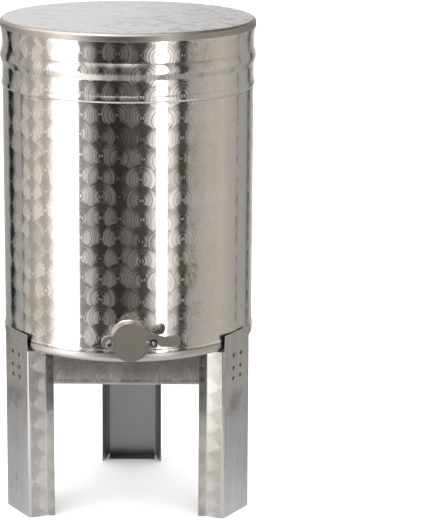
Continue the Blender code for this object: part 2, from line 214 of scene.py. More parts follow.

# Polish of the swirled steels. "clear" and "dull" are the roughness of the lands and of the
# grooves, "share" and "around" the grooves' share beside a disc's middle and all round it,
# "rings" and "contrast" the rings to the metre and their strength, and "shade" how much paler
# the grooves are painted, a painted sheen. "stagger" shifts the columns of discs up, "sway" moves
# the column left of the front aside, "side_light" paints the grooves on the left side paler still,
# a painted highlight, "eyes" says how clearly the small eye in a disc's middle shows, and "blots"
# how dark the blots on the sheet are, painted darker toward the right and front as painted shade.
PLAIN_POLISH = {"stagger": 0.0, "sway": 0.0, "side_light": 0.0, "eyes": 0.0, "blots": 0.0}
WALL_POLISH = {
    **PLAIN_POLISH, "clear": 0.06, "dull": 0.32, "share": 0.80, "around": 0.13, "rings": 700.0,
    "contrast": 4.4, "shade": 0.09, "stagger": 0.4, "sway": -0.0045, "side_light": 0.32, "eyes": 1.0,
}
LID_POLISH = {
    **PLAIN_POLISH, "clear": 0.12, "dull": 0.26, "share": 0.60, "around": 0.15, "rings": 300.0,
    "contrast": 0.3, "shade": 0.10, "stagger": 0.4, "blots": 0.42,
}
FLANGE_POLISH = {
    **PLAIN_POLISH, "clear": 0.14, "dull": 0.25, "share": 0.70, "around": 0.10, "rings": 300.0,
    "contrast": 0.2, "shade": 0.26, "stagger": 0.3,
}
APRON_POLISH = {
    **PLAIN_POLISH, "clear": 0.20, "dull": 0.36, "share": 0.55, "around": 0.45, "rings": 330.0,
    "contrast": 1.3, "shade": 0.12, "eyes": 0.3,
}
# Depth of the grooves near the middle of a disc, by centimetres from it
DISC_MIDDLE = (
    (0.00, 0.0), (0.06, 0.1), (0.12, 1.2), (0.24, 1.2), (0.34, 0.3), (0.50, 0.4), (0.66, 1.0),
)
# Spacing and radius of the discs on the aprons and on the legs
APRON_DISC = (0.0500, 0.0275)
FLANGE_DISC = (0.0300, 0.0220)
APRON_DISC_HEIGHT = 0.2135
APRON_DISC_SHIFT = 0.0080
APRON_DARK_LINE = 0.2085
# Height above which a leg's lip is painted dark, a painted shade
LIP_SHADE_HEIGHT = 0.163
# Heights of the wall's ridges, which get a painted highlight, and how far below them a painted
# dark line of shade lies
RIDGE_HIGHLIGHT_HEIGHTS = (NARROW_BEAD["foot"] + 0.0010, FOOT_FLARE_LOW + 0.0006)
RIDGE_SHADE_DROP = 0.0021
# The wall's brown stains and small dark marks: angle round from the front, height, size and
# strength
WALL_STAINS = (
    (31.0, 0.3770, 0.0140, 0.80), (32.2, 0.3900, 0.0120, 0.65), (31.4, 0.4120, 0.0120, 0.40),
    (32.0, 0.4520, 0.0110, 0.30), (31.5, 0.5640, 0.0130, 0.35), (31.0, 0.7000, 0.0140, 0.55),
    (38.0, 0.6960, 0.0150, 0.35), (33.0, 0.5200, 0.0120, 0.25), (34.0, 0.3300, 0.0130, 0.30),
)
WALL_MARKS = (
    (33.8, 0.7186, 0.0016, 0.65), (34.8, 0.7177, 0.0011, 0.50), (33.1, 0.7117, 0.0015, 0.35),
    (31.9, 0.7085, 0.0016, 0.35), (30.9, 0.7051, 0.0015, 0.32), (30.0, 0.7018, 0.0015, 0.28),
    (19.8, 0.6010, 0.0016, 0.80), (20.6, 0.5975, 0.0019, 0.85), (21.4, 0.5990, 0.0014, 0.75),
    (34.8, 0.5624, 0.0012, 0.50), (39.5, 0.4041, 0.0014, 0.40), (49.5, 0.5805, 0.0012, 0.30),
)
# Brown marks on the legs: place and size
BROWN_MARKS = (
    ((-0.1649, -0.0697, 0.0490), 0.0045), ((-0.1640, -0.0703, 0.0320), 0.0040),
    ((0.1444, -0.1052, 0.0815), 0.0045),
)
# Painted highlight along the wall's ridges
RIDGE_HIGHLIGHT_COLOUR = (0.92, 0.90, 0.87)
STAIN_COLOUR = (0.36, 0.29, 0.22)
MARK_COLOUR = (0.06, 0.055, 0.05)
BROWN_COLOUR = (0.26, 0.21, 0.17)
SMUDGE_COLOUR = (0.27, 0.28, 0.30)
# Painted shade in the gap close under the pan
GAP_SHADE_COLOUR = (0.02, 0.02, 0.02)
# Painted highlight along the aprons' lower edge
EDGE_HIGHLIGHT_COLOUR = (0.95, 0.93, 0.90)
LID_EDGE_COLOUR = (0.80, 0.775, 0.74)
# Painted shade on the cut end of the pivot's screw
SCREW_END_SHADE_COLOUR = (0.11, 0.10, 0.09)
# Painted shade on the wing nut's hub
HUB_SHADE_COLOUR = (0.045, 0.040, 0.036)

# Camera, found from the photograph's outlines
CAMERA_PLACE = (0.1131, -3.6243, 1.2165)
CAMERA_YAW = math.radians(-0.402)
CAMERA_PITCH = math.radians(-13.157)
CAMERA_ROLL = math.radians(0.402)
CAMERA_LENS = 172.73
CAMERA_SENSOR = 36.0

# What the steel mirrors round the studio, from straight in front to the back over each side:
# degrees, how bright it is there, and how warm
SURROUND_LEFT = (
    (0.0, 0.035, 0.10), (20.0, 0.03, 0.10), (25.0, 0.04, 0.06), (30.5, 0.10, 0.02),
    (36.5, 0.32, 0.00), (43.6, 0.38, 0.00), (44.4, 3.60, 0.02), (62.0, 3.40, 0.02),
    (67.0, 2.20, 0.04), (71.5, 0.95, 0.06), (76.0, 0.66, 0.14), (82.0, 0.56, 0.16),
    (90.0, 0.66, 0.14), (98.0, 0.54, 0.16), (103.0, 0.54, 0.14), (109.6, 0.45, 0.12),
    (110.5, 0.10, 0.02), (111.9, 0.10, 0.02), (112.8, 0.54, 0.02), (118.0, 0.55, 0.02),
    (125.0, 0.34, 0.00), (127.5, 0.01, 0.00), (138.0, 0.01, 0.00), (141.0, 0.42, 0.00),
    (156.0, 0.45, 0.00), (180.0, 1.00, 0.00),
)
SURROUND_RIGHT = (
    (0.0, 0.035, 0.10), (8.0, 0.04, 0.20), (18.0, 0.07, 0.28), (24.0, 0.18, 0.10),
    (27.0, 0.60, 0.04), (28.2, 5.30, 0.02), (36.3, 4.00, 0.02), (37.3, 0.60, 0.06),
    (43.0, 0.54, 0.08), (46.8, 0.34, 0.04), (48.6, 0.05, 0.04), (55.5, 0.06, 0.04),
    (58.5, 0.36, 0.14), (66.0, 0.53, 0.16), (95.0, 0.66, 0.16), (112.0, 0.54, 0.12),
    (118.5, 0.46, 0.06), (119.5, 0.22, 0.02), (121.0, 0.22, 0.02), (122.0, 0.49, 0.02),
    (139.5, 0.43, 0.00), (145.0, 0.14, 0.00), (150.5, 0.16, 0.00), (153.5, 0.50, 0.00),
    (180.0, 1.00, 0.00),
)
SURROUND_PEAK = 6.0
SURROUND_RADIUS = 14.0
SURROUND_PLACE = (0.0, AXIS_Y, 0.45)
# How bright and how warm the rest of the studio is: the backdrop and the ceiling, left and
# right, the light overhead and the parts of the table
BACKDROP_GLOW = ((0.88, -0.05), (0.66, 0.0))
CEILING_GLOW = ((0.46, 0.10), (0.15, 0.14))
OVERHEAD_GLOW = (4.0, 0.04)
TABLE_NEAR_GLOW = ((0.58, 0.02), (0.82, 0.04))
TABLE_FAR_BACK_GLOW = (0.40, 0.10)
TABLE_FAR_FRONT_GLOW = ((0.27, 0.12), (0.38, 0.10))
TABLE_LAMP_GLOW = (1.45, 0.06)
TABLE_RADIUS = 1.30
TABLE_FADE = 0.30
TABLE_PLACE = (0.0, AXIS_Y, -0.0002)
FLOOR_SIZE = 30.0
FLOOR_PLACE = (0.0, 0.0, -0.0004)
SKY_STRENGTH = 1.6
SOFT_LIGHT_PLACE = (-0.8, -1.2, 3.4)
SOFT_LIGHT_TURN = (math.radians(20.0), math.radians(-13.0), 0.0)
SOFT_LIGHT_SIZE = 3.0
SOFT_LIGHT_ENERGY = 60.0

UP = (0.0, 0.0, 1.0)
# Turn that stands a flat outline up, so that its thickness runs forward
UPRIGHT = Matrix.Rotation(math.pi / 2.0, 4, "X")
COLOUR_RANGE = {"size": 3, "min": 0.0, "max": 1.0, "subtype": "COLOR"}


class StorageTankSettings(bpy.types.PropertyGroup):
    """Sizes and colours that a user would change."""

    swirl_pitch: FloatProperty(
        name="Swirl Spacing", description="Distance between the polished discs on the tank",
        default=0.0295, min=0.01, max=0.1, subtype="DISTANCE", unit="LENGTH",
    )
    swirl_radius: FloatProperty(
        name="Swirl Radius", description="Radius of one polished disc on the tank",
        default=0.0215, min=0.008, max=0.08, subtype="DISTANCE", unit="LENGTH",
    )
    tank_colour: FloatVectorProperty(
        name="Tank Steel", description="Colour of the polished tank and lid",
        default=(0.66, 0.635, 0.605), **COLOUR_RANGE,
    )
    stand_colour: FloatVectorProperty(
        name="Stand Steel", description="Colour of the folded stand",
        default=(0.60, 0.585, 0.565), **COLOUR_RANGE,
    )
    inner_colour: FloatVectorProperty(
        name="Inner Steel", description="Colour of the stand's unpolished inner faces",
        default=(0.375, 0.37, 0.38), **COLOUR_RANGE,
    )
    tap_colour: FloatVectorProperty(
        name="Tap Steel", description="Colour of the satin tap",
        default=(0.294, 0.268, 0.246), **COLOUR_RANGE,
    )
    fastener_colour: FloatVectorProperty(
        name="Fastener Steel", description="Colour of the bolts and nuts",
        default=(0.66, 0.65, 0.63), **COLOUR_RANGE,
    )
    weld_colour: FloatVectorProperty(
        name="Weld Tint", description="Brown heat tint round the spot welds",
        default=(0.13, 0.085, 0.065), **COLOUR_RANGE,
    )
    floor_colour: FloatVectorProperty(
        name="Floor", description="Colour of the studio floor",
        default=(0.92, 0.92, 0.92), **COLOUR_RANGE,
    )


def joined_by(operation, swapped=False):
    """Make the method of an operator: it joins a value and another operand with a node."""
    def join(value, other):
        operands = (other, value) if swapped else (value, other)
        return value.nodes.arithmetic(operation, *operands)
    return join


class Value:
    """Output of a node, which arithmetic can be written with."""

    def __init__(self, nodes, socket):
        self.nodes = nodes
        self.socket = socket

    __add__, __radd__ = joined_by("ADD"), joined_by("ADD", swapped=True)
    __sub__, __rsub__ = joined_by("SUBTRACT"), joined_by("SUBTRACT", swapped=True)
    __mul__, __rmul__ = joined_by("MULTIPLY"), joined_by("MULTIPLY", swapped=True)
    __truediv__, __rtruediv__ = joined_by("DIVIDE"), joined_by("DIVIDE", swapped=True)
    __gt__, __lt__ = joined_by("GREATER_THAN"), joined_by("LESS_THAN")


def is_vector(item):
    """Whether an operand is a vector or a colour."""
    if isinstance(item, Value):
        return item.socket.type in {"VECTOR", "RGBA"}
    return isinstance(item, tuple)


class Nodes:
    """The nodes of one material or world."""

    def __init__(self, tree):
        self.tree = tree
        tree.nodes.clear()

    def add(self, kind, settings=None, inputs=None, output=0):
        """Add a node: its settings first, then the values or links of its sockets."""
        node = self.tree.nodes.new(kind)
        for name, setting in (settings or {}).items():
            if name == "stops":
                self.set_stops(node.color_ramp, setting)
            else:
                setattr(node, name, setting)
        for name, value in (inputs or {}).items():
            if isinstance(value, Value):
                self.tree.links.new(value.socket, node.inputs[name])
            else:
                node.inputs[name].default_value = value
        return Value(self, node.outputs[output]) if len(node.outputs) else None

    @staticmethod
    def set_stops(ramp, stops):
        """Give a colour ramp its stops, as (position, colour) pairs from low to high."""
        while len(ramp.elements) > 1:
            ramp.elements.remove(ramp.elements[-1])
        ramp.elements[0].position, ramp.elements[0].color = stops[0]
        for position, colour in stops[1:]:
            ramp.elements.new(position).color = colour

    def arithmetic(self, operation, first, second):
        """Join two operands with a Math node, or with Vector Math where one is a vector."""
        vectors = (is_vector(first), is_vector(second))
        if not any(vectors):
            return self.math(operation, first, second)
        if operation == "MULTIPLY" and not all(vectors):
            vector, scale = (first, second) if vectors[0] else (second, first)
            settings = {"operation": "SCALE"}
            return self.add("ShaderNodeVectorMath", settings, {0: vector, "Scale": scale})
        return self.vector(operation, first, second)

    def math(self, operation, *values):
        """A Math node of any kind."""
        return self.add("ShaderNodeMath", {"operation": operation}, dict(enumerate(values)))

    def vector(self, operation, *values, output=0):
        """A Vector Math node of any kind."""
        settings = {"operation": operation}
        return self.add("ShaderNodeVectorMath", settings, dict(enumerate(values)), output)

    def length(self, vector):
        """Length of a vector."""
        return self.vector("LENGTH", vector, output="Value")

    def reach(self, vector, direction):
        """How far a vector reaches in a direction."""
        return self.vector("DOT_PRODUCT", vector, direction, output="Value")

    def mix(self, share, first, second, kind="RGBA"):
        """Blend two colours, numbers or vectors, from the first at 0 to the second at 1."""
        place, output = {"FLOAT": (2, 0), "VECTOR": (4, 1), "RGBA": (6, 2)}[kind]
        inputs = {0: share, place: first, place + 1: second}
        return self.add("ShaderNodeMix", {"data_type": kind}, inputs, output)

    def ramp(self, share, stops):
        """The colour at a share of the way along the (position, colour) stops of a ramp."""
        return self.add("ShaderNodeValToRGB", {"stops": stops}, {"Fac": share}, "Color")

    def join(self, x, y, z):
        """Make a vector of three numbers."""
        return self.add("ShaderNodeCombineXYZ", None, {"X": x, "Y": y, "Z": z})

    def part(self, vector, axis):
        """One of the three numbers of a vector."""
        return self.add("ShaderNodeSeparateXYZ", None, {0: vector}, axis)

    def split(self, vector):
        """The three numbers of a vector."""
        return [self.part(vector, axis) for axis in "XYZ"]

    def rise(self, value, low, high):
        """Go smoothly from 0 at the low value to 1 at the high one."""
        settings = {"interpolation_type": "SMOOTHSTEP"}
        inputs = {"Value": value, "From Min": low, "From Max": high}
        return self.add("ShaderNodeMapRange", settings, inputs)

    def near(self, value, middle, far, close):
        """Go smoothly from 0 far from a middle value to 1 close to it, on both sides."""
        return self.rise(self.math("ABSOLUTE", value - middle), far, close)

    def spot(self, place, middle, size, core, upright=1.0):
        """Go from 0 at a spot's size to 1 in its core, which is a share of the size.

        Upright is how much heights count, so that a spot is taller than wide below 1."""
        away = (place - middle) * (1.0, 1.0, upright)
        return self.rise(self.length(away), size, size * core)

    def noise(self, place, scale=1.0, detail=3.0, roughness=0.6):
        """Cloudy noise from 0 to 1 over a place."""
        inputs = {"Vector": place, "Scale": scale, "Detail": detail, "Roughness": roughness}
        return self.add("ShaderNodeTexNoise", {"noise_dimensions": "3D"}, inputs)

    def noise_line(self, distance, scale, detail=3.0, roughness=0.7):
        """Noise from 0 to 1 along one number."""
        inputs = {"W": distance, "Scale": scale, "Detail": detail, "Roughness": roughness}
        return self.add("ShaderNodeTexNoise", {"noise_dimensions": "1D"}, inputs)

    def dice(self, x, y, z):
        """A random vector from three whole numbers."""
        inputs = {"Vector": self.join(x, y, z)}
        return self.add("ShaderNodeTexWhiteNoise", {"noise_dimensions": "3D"}, inputs, "Color")

    def bump(self, height, strength, distance):
        """The surface's normal over small bumps."""
        inputs = {"Strength": strength, "Distance": distance, "Height": height}
        return self.add("ShaderNodeBump", None, inputs)

    def metal(self, colour, roughness, normal=None):
        """Shader of bare metal."""
        inputs = {"Base Color": colour, "Roughness": roughness, "Metallic": 1.0}
        if normal is not None:
            inputs["Normal"] = normal
        return self.add("ShaderNodeBsdfPrincipled", None, inputs)

    def blend(self, share, first, second):
        """Blend two shaders."""
        return self.add("ShaderNodeMixShader", None, {0: share, 1: first, 2: second})

    def glow(self, colour, strength):
        """Shader that gives light."""
        return self.add("ShaderNodeEmission", None, {"Color": colour, "Strength": strength})

    def finish(self, shader):
        """End a material with its shader."""
        self.add("ShaderNodeOutputMaterial", None, {"Surface": shader})


def new_material(name):
    """An empty node material and its nodes."""
    material = bpy.data.materials.new(name)
    material.use_nodes = True
    return material, Nodes(material.node_tree)


def tinted(colour, *tint):
    """A colour made lighter or darker, as a whole or in its red, green and blue."""
    shares = tint if len(tint) == 3 else tint * 3
    return [part * share for part, share in zip(colour, shares)]


def opaque(colour, *tint):
    """A colour, tinted where a tint is given, with its alpha."""
    return (*tinted(colour, *(tint or (1.0,))), 1.0)


def cloudy(nodes, clouds, colour, low, high):
    """A colour that goes from darker to lighter with clouds."""
    return nodes.mix(clouds, opaque(colour, low), opaque(colour, high))


def own_place(nodes):
    """Place on the piece, which moves with it."""
    return nodes.add("ShaderNodeTexCoord", output="Object")


def surface_normal(nodes):
    """The surface's own normal."""
    return nodes.add("ShaderNodeNewGeometry", output="Normal")


def round_wall_axes(nodes):
    """Distance round the tank, and height."""
    x, y, z = nodes.split(own_place(nodes))
    return nodes.math("ARCTAN2", x, AXIS_Y - y) * TANK_RADIUS + SWIRL_START, z


def upright_sheet_axes(nodes):
    """Distance along an upright sheet, and height."""
    place = own_place(nodes)
    along = nodes.vector("NORMALIZE", nodes.vector("CROSS_PRODUCT", UP, surface_normal(nodes)))
    return nodes.reach(place, along), nodes.part(place, "Z")


def flat_sheet_axes(nodes):
    """Distances over a flat sheet to the right and to the back."""
    x, y, _ = nodes.split(own_place(nodes))
    return x, y - AXIS_Y


def apron_sheet_axes(nodes):
    """As on an upright sheet, with a row of discs half way up the aprons."""
    along, height = upright_sheet_axes(nodes)
    return along + APRON_DISC_SHIFT, height - APRON_DISC_HEIGHT + APRON_DISC[0] / 2.0


def top_disc(nodes, axes, disc, polish, seed):
    """The polished disc that lies on top at a point: the offset from its middle and its dice.

    Each point is reached by the four nearest discs at most, and the lowest one lies on top."""
    pitch, radius = disc
    here = nodes.join(*axes, 0.0)
    stray = tuple(share * pitch for share in DISC_STRAY)
    first_column = nodes.math("FLOOR", axes[0] / pitch - 0.5)
    best = None
    for column_step in (0, 1):
        column = first_column + column_step
        shift = nodes.part(nodes.dice(column, seed, 3.0), "X") * (polish["stagger"] * pitch)
        sway = 0.0
        if polish["sway"]:
            sway = nodes.near(column, -1.0, 0.6, 0.4) * polish["sway"]
        first_row = nodes.math("FLOOR", (axes[1] - shift) / pitch - 0.5)
        for row_step in (0, 1):
            row = first_row + row_step
            dice = nodes.dice(column, row, seed)
            middle = nodes.join((column + 0.5) * pitch + sway, (row + 0.5) * pitch + shift, 0.0)
            offset = here - (middle + (dice - (0.5, 0.5, 0.5)) * stray)
            # Lower discs and lucky ones rank higher, and one that ends short of here is last
            outside = nodes.length(offset) > radius
            rank = nodes.part(offset, "Y") / pitch + nodes.part(dice, "Z") * 0.9 - outside * 100.0
            if best is None:
                best = (rank, offset, dice)
                continue
            better = rank > best[0]
            best = (
                nodes.math("MAXIMUM", rank, best[0]),
                nodes.mix(better, best[1], offset, "VECTOR"),
                nodes.mix(better, best[2], dice, "VECTOR"),
            )
    return best[1], best[2]


def swirl_share(nodes, axes, disc, polish, seed, across, side_lit):
    """How dull the grooves of the discs make the steel at a point, and the disc's dice.

    Grooves too fine to see one by one spread the light away from and towards the middle of
    their disc, so a disc is dull to both sides of its middle and clear above and below it."""
    radius = disc[1]
    offset, dice = top_disc(nodes, axes, disc, polish, seed)
    chance_x, chance_y, chance_z = nodes.split(dice)
    distance = nodes.length(offset)
    # Each disc's fans of light lean a little, and its grooves are deep or shallow by chance
    tilt = (chance_y - 0.5) * 0.4
    fan_line = nodes.join(1.0, tilt, 0.0) if across else nodes.join(tilt, 1.0, 0.0)
    beside = nodes.math("ABSOLUTE", nodes.reach(nodes.vector("NORMALIZE", offset), fan_line))
    fans = nodes.rise(beside, 0.25, 1.0) * (1.0 - polish["around"]) + polish["around"]
    rings = nodes.noise_line(distance + chance_x * 3.0, polish["rings"], 1.0, 0.5)
    ringed = (rings - 0.5) * (1.0 - side_lit * 0.75) * polish["contrast"] + 1.0
    within = nodes.rise(distance, radius, radius * 0.95)
    if not polish["stagger"]:
        within = within * (chance_z * 0.9 + 0.3)
    depth = (ringed * (chance_z * 1.1 + 0.45) - 0.5) * within + 0.5
    stops = [(position, (level, level, level, 1.0)) for position, level in DISC_MIDDLE]
    middle = nodes.part(nodes.ramp(distance / 0.01, stops), "X")
    eye = (middle - 1.0) * polish["eyes"] + 1.0
    share = fans * depth * eye * polish["share"]
    return nodes.math("MINIMUM", nodes.math("MAXIMUM", share, 0.0), 0.95), dice


def place_on_wall(angle, height):
    """Point of the wall's outside, by its angle in degrees round from the front and its height."""
    turn = math.radians(angle)
    radius = wall_radius(height)
    return (radius * math.sin(turn), AXIS_Y - radius * math.cos(turn), height)


def wall_stains_and_ridge_light(nodes, axes, tone, colour):
    """Painted highlights along the ridges with a painted dark line of shade below them, brown
    stains and small dark marks.
    """
    for ridge in RIDGE_HIGHLIGHT_HEIGHTS:
        # A painted highlight along each ridge, and a painted dark line of shade just below it
        ridge_highlight = nodes.near(axes[1], ridge, 0.0013, 0.0005)
        tone = nodes.mix(ridge_highlight * 0.80, tone, opaque(RIDGE_HIGHLIGHT_COLOUR))
        ridge_shade = nodes.near(axes[1], ridge - RIDGE_SHADE_DROP, 0.0010, 0.0003)
        tone = nodes.mix(ridge_shade * 0.45, tone, opaque(colour, 0.30))
    place = own_place(nodes)
    ragged = nodes.rise(nodes.noise(place, 150.0, 3.0, 0.65), 0.36, 0.62)
    for angle, height, size, strength in WALL_STAINS:
        stain = nodes.spot(place, place_on_wall(angle, height), size, 0.35, 0.60)
        tone = nodes.mix(stain * ragged * strength, tone, opaque(STAIN_COLOUR))
    for angle, height, size, strength in WALL_MARKS:
        mark = nodes.spot(place, place_on_wall(angle, height), size, 0.5)
        tone = nodes.mix(mark * strength, tone, opaque(MARK_COLOUR))
    return tone


def flange_painted_shade(nodes, axes, tone, colour):
    """Painted shade: the left leg's flanges are painted a little darker than the others, most so
    at the top.
    """
    left_shade = nodes.rise(nodes.part(own_place(nodes), "X"), -0.06, -0.10)
    upper = nodes.rise(axes[1], 0.02, 0.20)
    return tone * (1.03 - left_shade * (upper * 0.11 + 0.14))


def lip_painted_shade(nodes, axes, tone, colour):
    """Painted shade: the upper part of a leg's lip is painted dark, with a ragged lower edge."""
    ragged = (nodes.noise(own_place(nodes), 60.0) - 0.5) * 0.030
    above = nodes.rise(axes[1] + ragged, LIP_SHADE_HEIGHT - 0.008, LIP_SHADE_HEIGHT + 0.006)
    return nodes.mix(above * 0.56, tone, opaque(colour, 0.25))


def apron_marks_and_edge_light(nodes, axes, tone, colour):
    """Smears, a dashed dark line above the lower edge, lighter towards the bottom, and a painted
    highlight along the lower edge itself.
    """
    along, row = axes
    height = nodes.part(own_place(nodes), "Z")
    dark_line = nodes.near(height, APRON_DARK_LINE, 0.0030, 0.0003)
    dashes = nodes.rise(nodes.noise_line(along, 70.0), 0.38, 0.62)
    tone = nodes.mix(dark_line * dashes * 0.60, tone, opaque(colour, 0.22))
    smears = nodes.noise(nodes.join(along * 70.0, row * 22.0, 0.0))
    tone = tone * (smears * 0.8 + 0.6) * (nodes.rise(height, 0.226, 0.208) * 0.34 + 0.93)
    # A painted highlight along the lower edge
    edge_highlight = nodes.rise(height, APRON_BOTTOM + 0.0022, APRON_BOTTOM + 0.0010)
    return nodes.mix(edge_highlight, tone, opaque(EDGE_HIGHLIGHT_COLOUR))


def make_swirled_steel(name, colour, axes_of, disc, polish, seed, across=True, wear=None):
    """Engine-turned stainless steel: overlapping discs of fine round grooves.

    Wear is the function that paints what is worn or stained on one kind of sheet."""
    material, nodes = new_material(name)
    place, axes = own_place(nodes), axes_of(nodes)
    # The wall's left side gets a painted highlight: its grooves are painted paler and their rings
    # show less
    side_lit = nodes.rise(nodes.part(place, "X"), *PAINTED_LIGHT_SIDE) if polish["side_light"] else 0.0
    share, dice = swirl_share(nodes, axes, disc, polish, seed, across, side_lit)
    clouds = nodes.noise(place, 9.0)
    tone = cloudy(nodes, clouds * 0.7 + nodes.part(dice, "Y") * 0.3, colour, 0.93, 1.06)
    stains = nodes.rise(nodes.noise(place, 6.0, 4.0, 0.62), 0.50, 0.72)
    tone = nodes.mix(stains * 0.38, tone, opaque(colour, 0.90, 0.84, 0.76))
    # The grooves are painted paler than the lands, a painted sheen, and paler still on the wall's
    # left side, a painted highlight
    paler = side_lit * polish["side_light"] + polish["shade"]
    tone = tone * ((share / polish["share"] - 0.4) * paler + 1.0)
    if polish["blots"]:
        x, y, _ = nodes.split(place)
        blots = nodes.rise(nodes.noise(place, 62.0, 2.0, 0.55), 0.46, 0.64)
        # The blots are painted darker toward the right and the front, a painted shade
        right_front_shade = nodes.rise(x - y * 0.5, -0.08, 0.20) * 0.8 + 0.3
        tone = tone * (1.0 - blots * right_front_shade * polish["blots"])
    if wear is not None:
        tone = wear(nodes, axes, tone, colour)
    clear = nodes.metal(tone, clouds * 0.03 + polish["clear"])
    nodes.finish(nodes.blend(share, clear, nodes.metal(tone, polish["dull"])))
    return material


def make_web_steel(name, colour):
    """Smooth steel of the legs' broad faces, with grey smudges and brown marks."""
    material, nodes = new_material(name)
    place = own_place(nodes)
    z = nodes.part(place, "Z")
    clouds = nodes.noise(place, 16.0)
    streaks = nodes.noise(place * (60.0, 60.0, 7.0))
    low = opaque(colour, 0.95, 0.98, 1.04)
    tone = nodes.mix(nodes.rise(z, 0.10, 0.22), low, opaque(colour))
    tone = tone * (clouds * 0.46 + streaks * 0.30 + 0.62)
    belt = nodes.rise(z, 0.140, 0.168) * nodes.rise(z, 0.205, 0.180)
    drift = (nodes.noise(place, 24.0, 2.0, 0.5) - 0.5) * 0.03
    smudges = nodes.noise(place * (1.0, 1.0, 0.8) + drift, 30.0, 4.0)
    smudges = nodes.rise(smudges, 0.42, 0.68) * belt
    tone = nodes.mix(smudges * 0.72, tone, opaque(SMUDGE_COLOUR))
    ragged = nodes.rise(nodes.noise(place, 260.0, 2.0), 0.35, 0.60)
    for middle, size in BROWN_MARKS:
        mark = nodes.spot(place, middle, size, 0.2, 0.45)
        tone = nodes.mix(mark * ragged * 0.6, tone, opaque(BROWN_COLOUR))
    nodes.finish(nodes.metal(tone, clouds * 0.10 + 0.22))
    return material


def make_brushed_steel(name, colour, roughness, tilt, scale=2600.0, streak=0.0, side_shaded=False):
    """Steel brushed round the tank, so that its fine lines lie level.

    Side shaded steel is painted darker in front, a painted shade, and paler on the left, a painted
    highlight."""
    material, nodes = new_material(name)
    place = own_place(nodes)
    around, height = round_wall_axes(nodes)
    lines = nodes.noise_line(height, scale, 2.0) * 2.0 - 1.0
    broken = nodes.noise(nodes.join(around * 30.0, height * 4000.0, 0.0), 1.0, 2.0) * 2.0 - 1.0
    clouds = nodes.noise(place, 14.0)
    bands = nodes.noise_line(height, 620.0)
    tone = cloudy(nodes, clouds, colour, 0.93, 1.06) * (bands * streak + (1.0 - streak / 2.0))
    if side_shaded:
        x = nodes.part(place, "X")
        # Painted shade in front and a painted highlight on the left
        front_shade = nodes.near(x, 0.018, 0.055, 0.020)
        tone = tone * (nodes.rise(x, -0.112, -0.138) * 0.38 - front_shade * 0.30 + 1.0)
    lean = (lines + broken) * tilt * UP
    normal = nodes.vector("NORMALIZE", surface_normal(nodes) + lean)
    nodes.finish(nodes.metal(tone, roughness + clouds * 0.06, normal))
    return material


def make_mill_steel(name, colour, roughness, gap_shaded=False):
    """Plain rolled steel, a little dull and cloudy, and painted black close under the pan, a
    painted shade.
    """
    material, nodes = new_material(name)
    place = own_place(nodes)
    clouds = nodes.noise(place, 22.0, 4.0)
    tone = cloudy(nodes, clouds, colour, 0.90, 1.08)
    if gap_shaded:
        # Painted shade: black close under the pan
        gap_shade = nodes.rise(nodes.part(place, "Z"), 0.205, 0.240)
        tone = nodes.mix(gap_shade * 0.9, tone, opaque(GAP_SHADE_COLOUR))
    streaks = nodes.noise(place * (900.0, 900.0, 12.0), 1.0, 2.0, 0.5) - 0.5
    bump = nodes.bump(nodes.noise(place, 500.0, 2.0, 0.5) + streaks, 0.02, 0.001)
    nodes.finish(nodes.metal(tone, roughness + clouds * 0.08, bump))
    return material


def make_satin_steel(name, colour, roughness):
    """Tumbled satin steel of the tap: even and soft, with a faint cloud and fine scuffs."""
    material, nodes = new_material(name)
    place = own_place(nodes)
    clouds = nodes.noise(place, 45.0)
    scuffs = nodes.noise(place * (260.0, 260.0, 2600.0), 1.0, 2.0, 0.7)
    bump = nodes.bump(nodes.noise(place, 1600.0, 2.0) * 0.6 + scuffs * 0.4, 0.06, 0.0004)
    tone = cloudy(nodes, clouds, colour, 0.94, 1.06)
    nodes.finish(nodes.metal(tone, roughness + clouds * 0.06 + scuffs * 0.04, bump))
    return material


def make_tinted_steel(name, colour):
    """Steel coloured by the heat of a weld."""
    material, nodes = new_material(name)
    clouds = nodes.noise(own_place(nodes), 700.0, 2.0)
    tone = cloudy(nodes, clouds, colour, 0.35, 1.1)
    nodes.finish(nodes.metal(tone, 0.34 + clouds * 0.1))
    return material


def new_object(name, bm, materials):
    """Turn a finished bmesh into a named object of the scene."""
    mesh = bpy.data.meshes.new(name)
    bm.to_mesh(mesh)
    bm.free()
    for material in materials:
        mesh.materials.append(material)
    piece = bpy.data.objects.new(name, mesh)
    bpy.context.scene.collection.objects.link(piece)
    return piece


def put_piece(name, bm, materials, angle=30.0, bevel=0.0, segments=2):
    """Turn a bmesh into a smoothly shaded piece, whose edges are rounded by the bevel."""
    bmesh.ops.recalc_face_normals(bm, faces=bm.faces)
    piece = new_object(name, bm, materials)
    piece.data.shade_smooth()
    if not bevel:
        piece.data.set_sharp_from_angle(angle=math.radians(angle))
        return piece
    rounding = piece.modifiers.new("rounded edges", "BEVEL")
    rounding.width = bevel
    rounding.segments = segments
    rounding.limit_method = "ANGLE"
    rounding.angle_limit = math.radians(angle)
    rounding.harden_normals = True
    return piece


def hand_over(piece, body, slot, *nodes):
    """Say what a piece moves with, and hide the solids that it stands for. The finish slot is not
    used.
    """
    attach(piece, body)
    if nodes:
        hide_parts(*nodes)


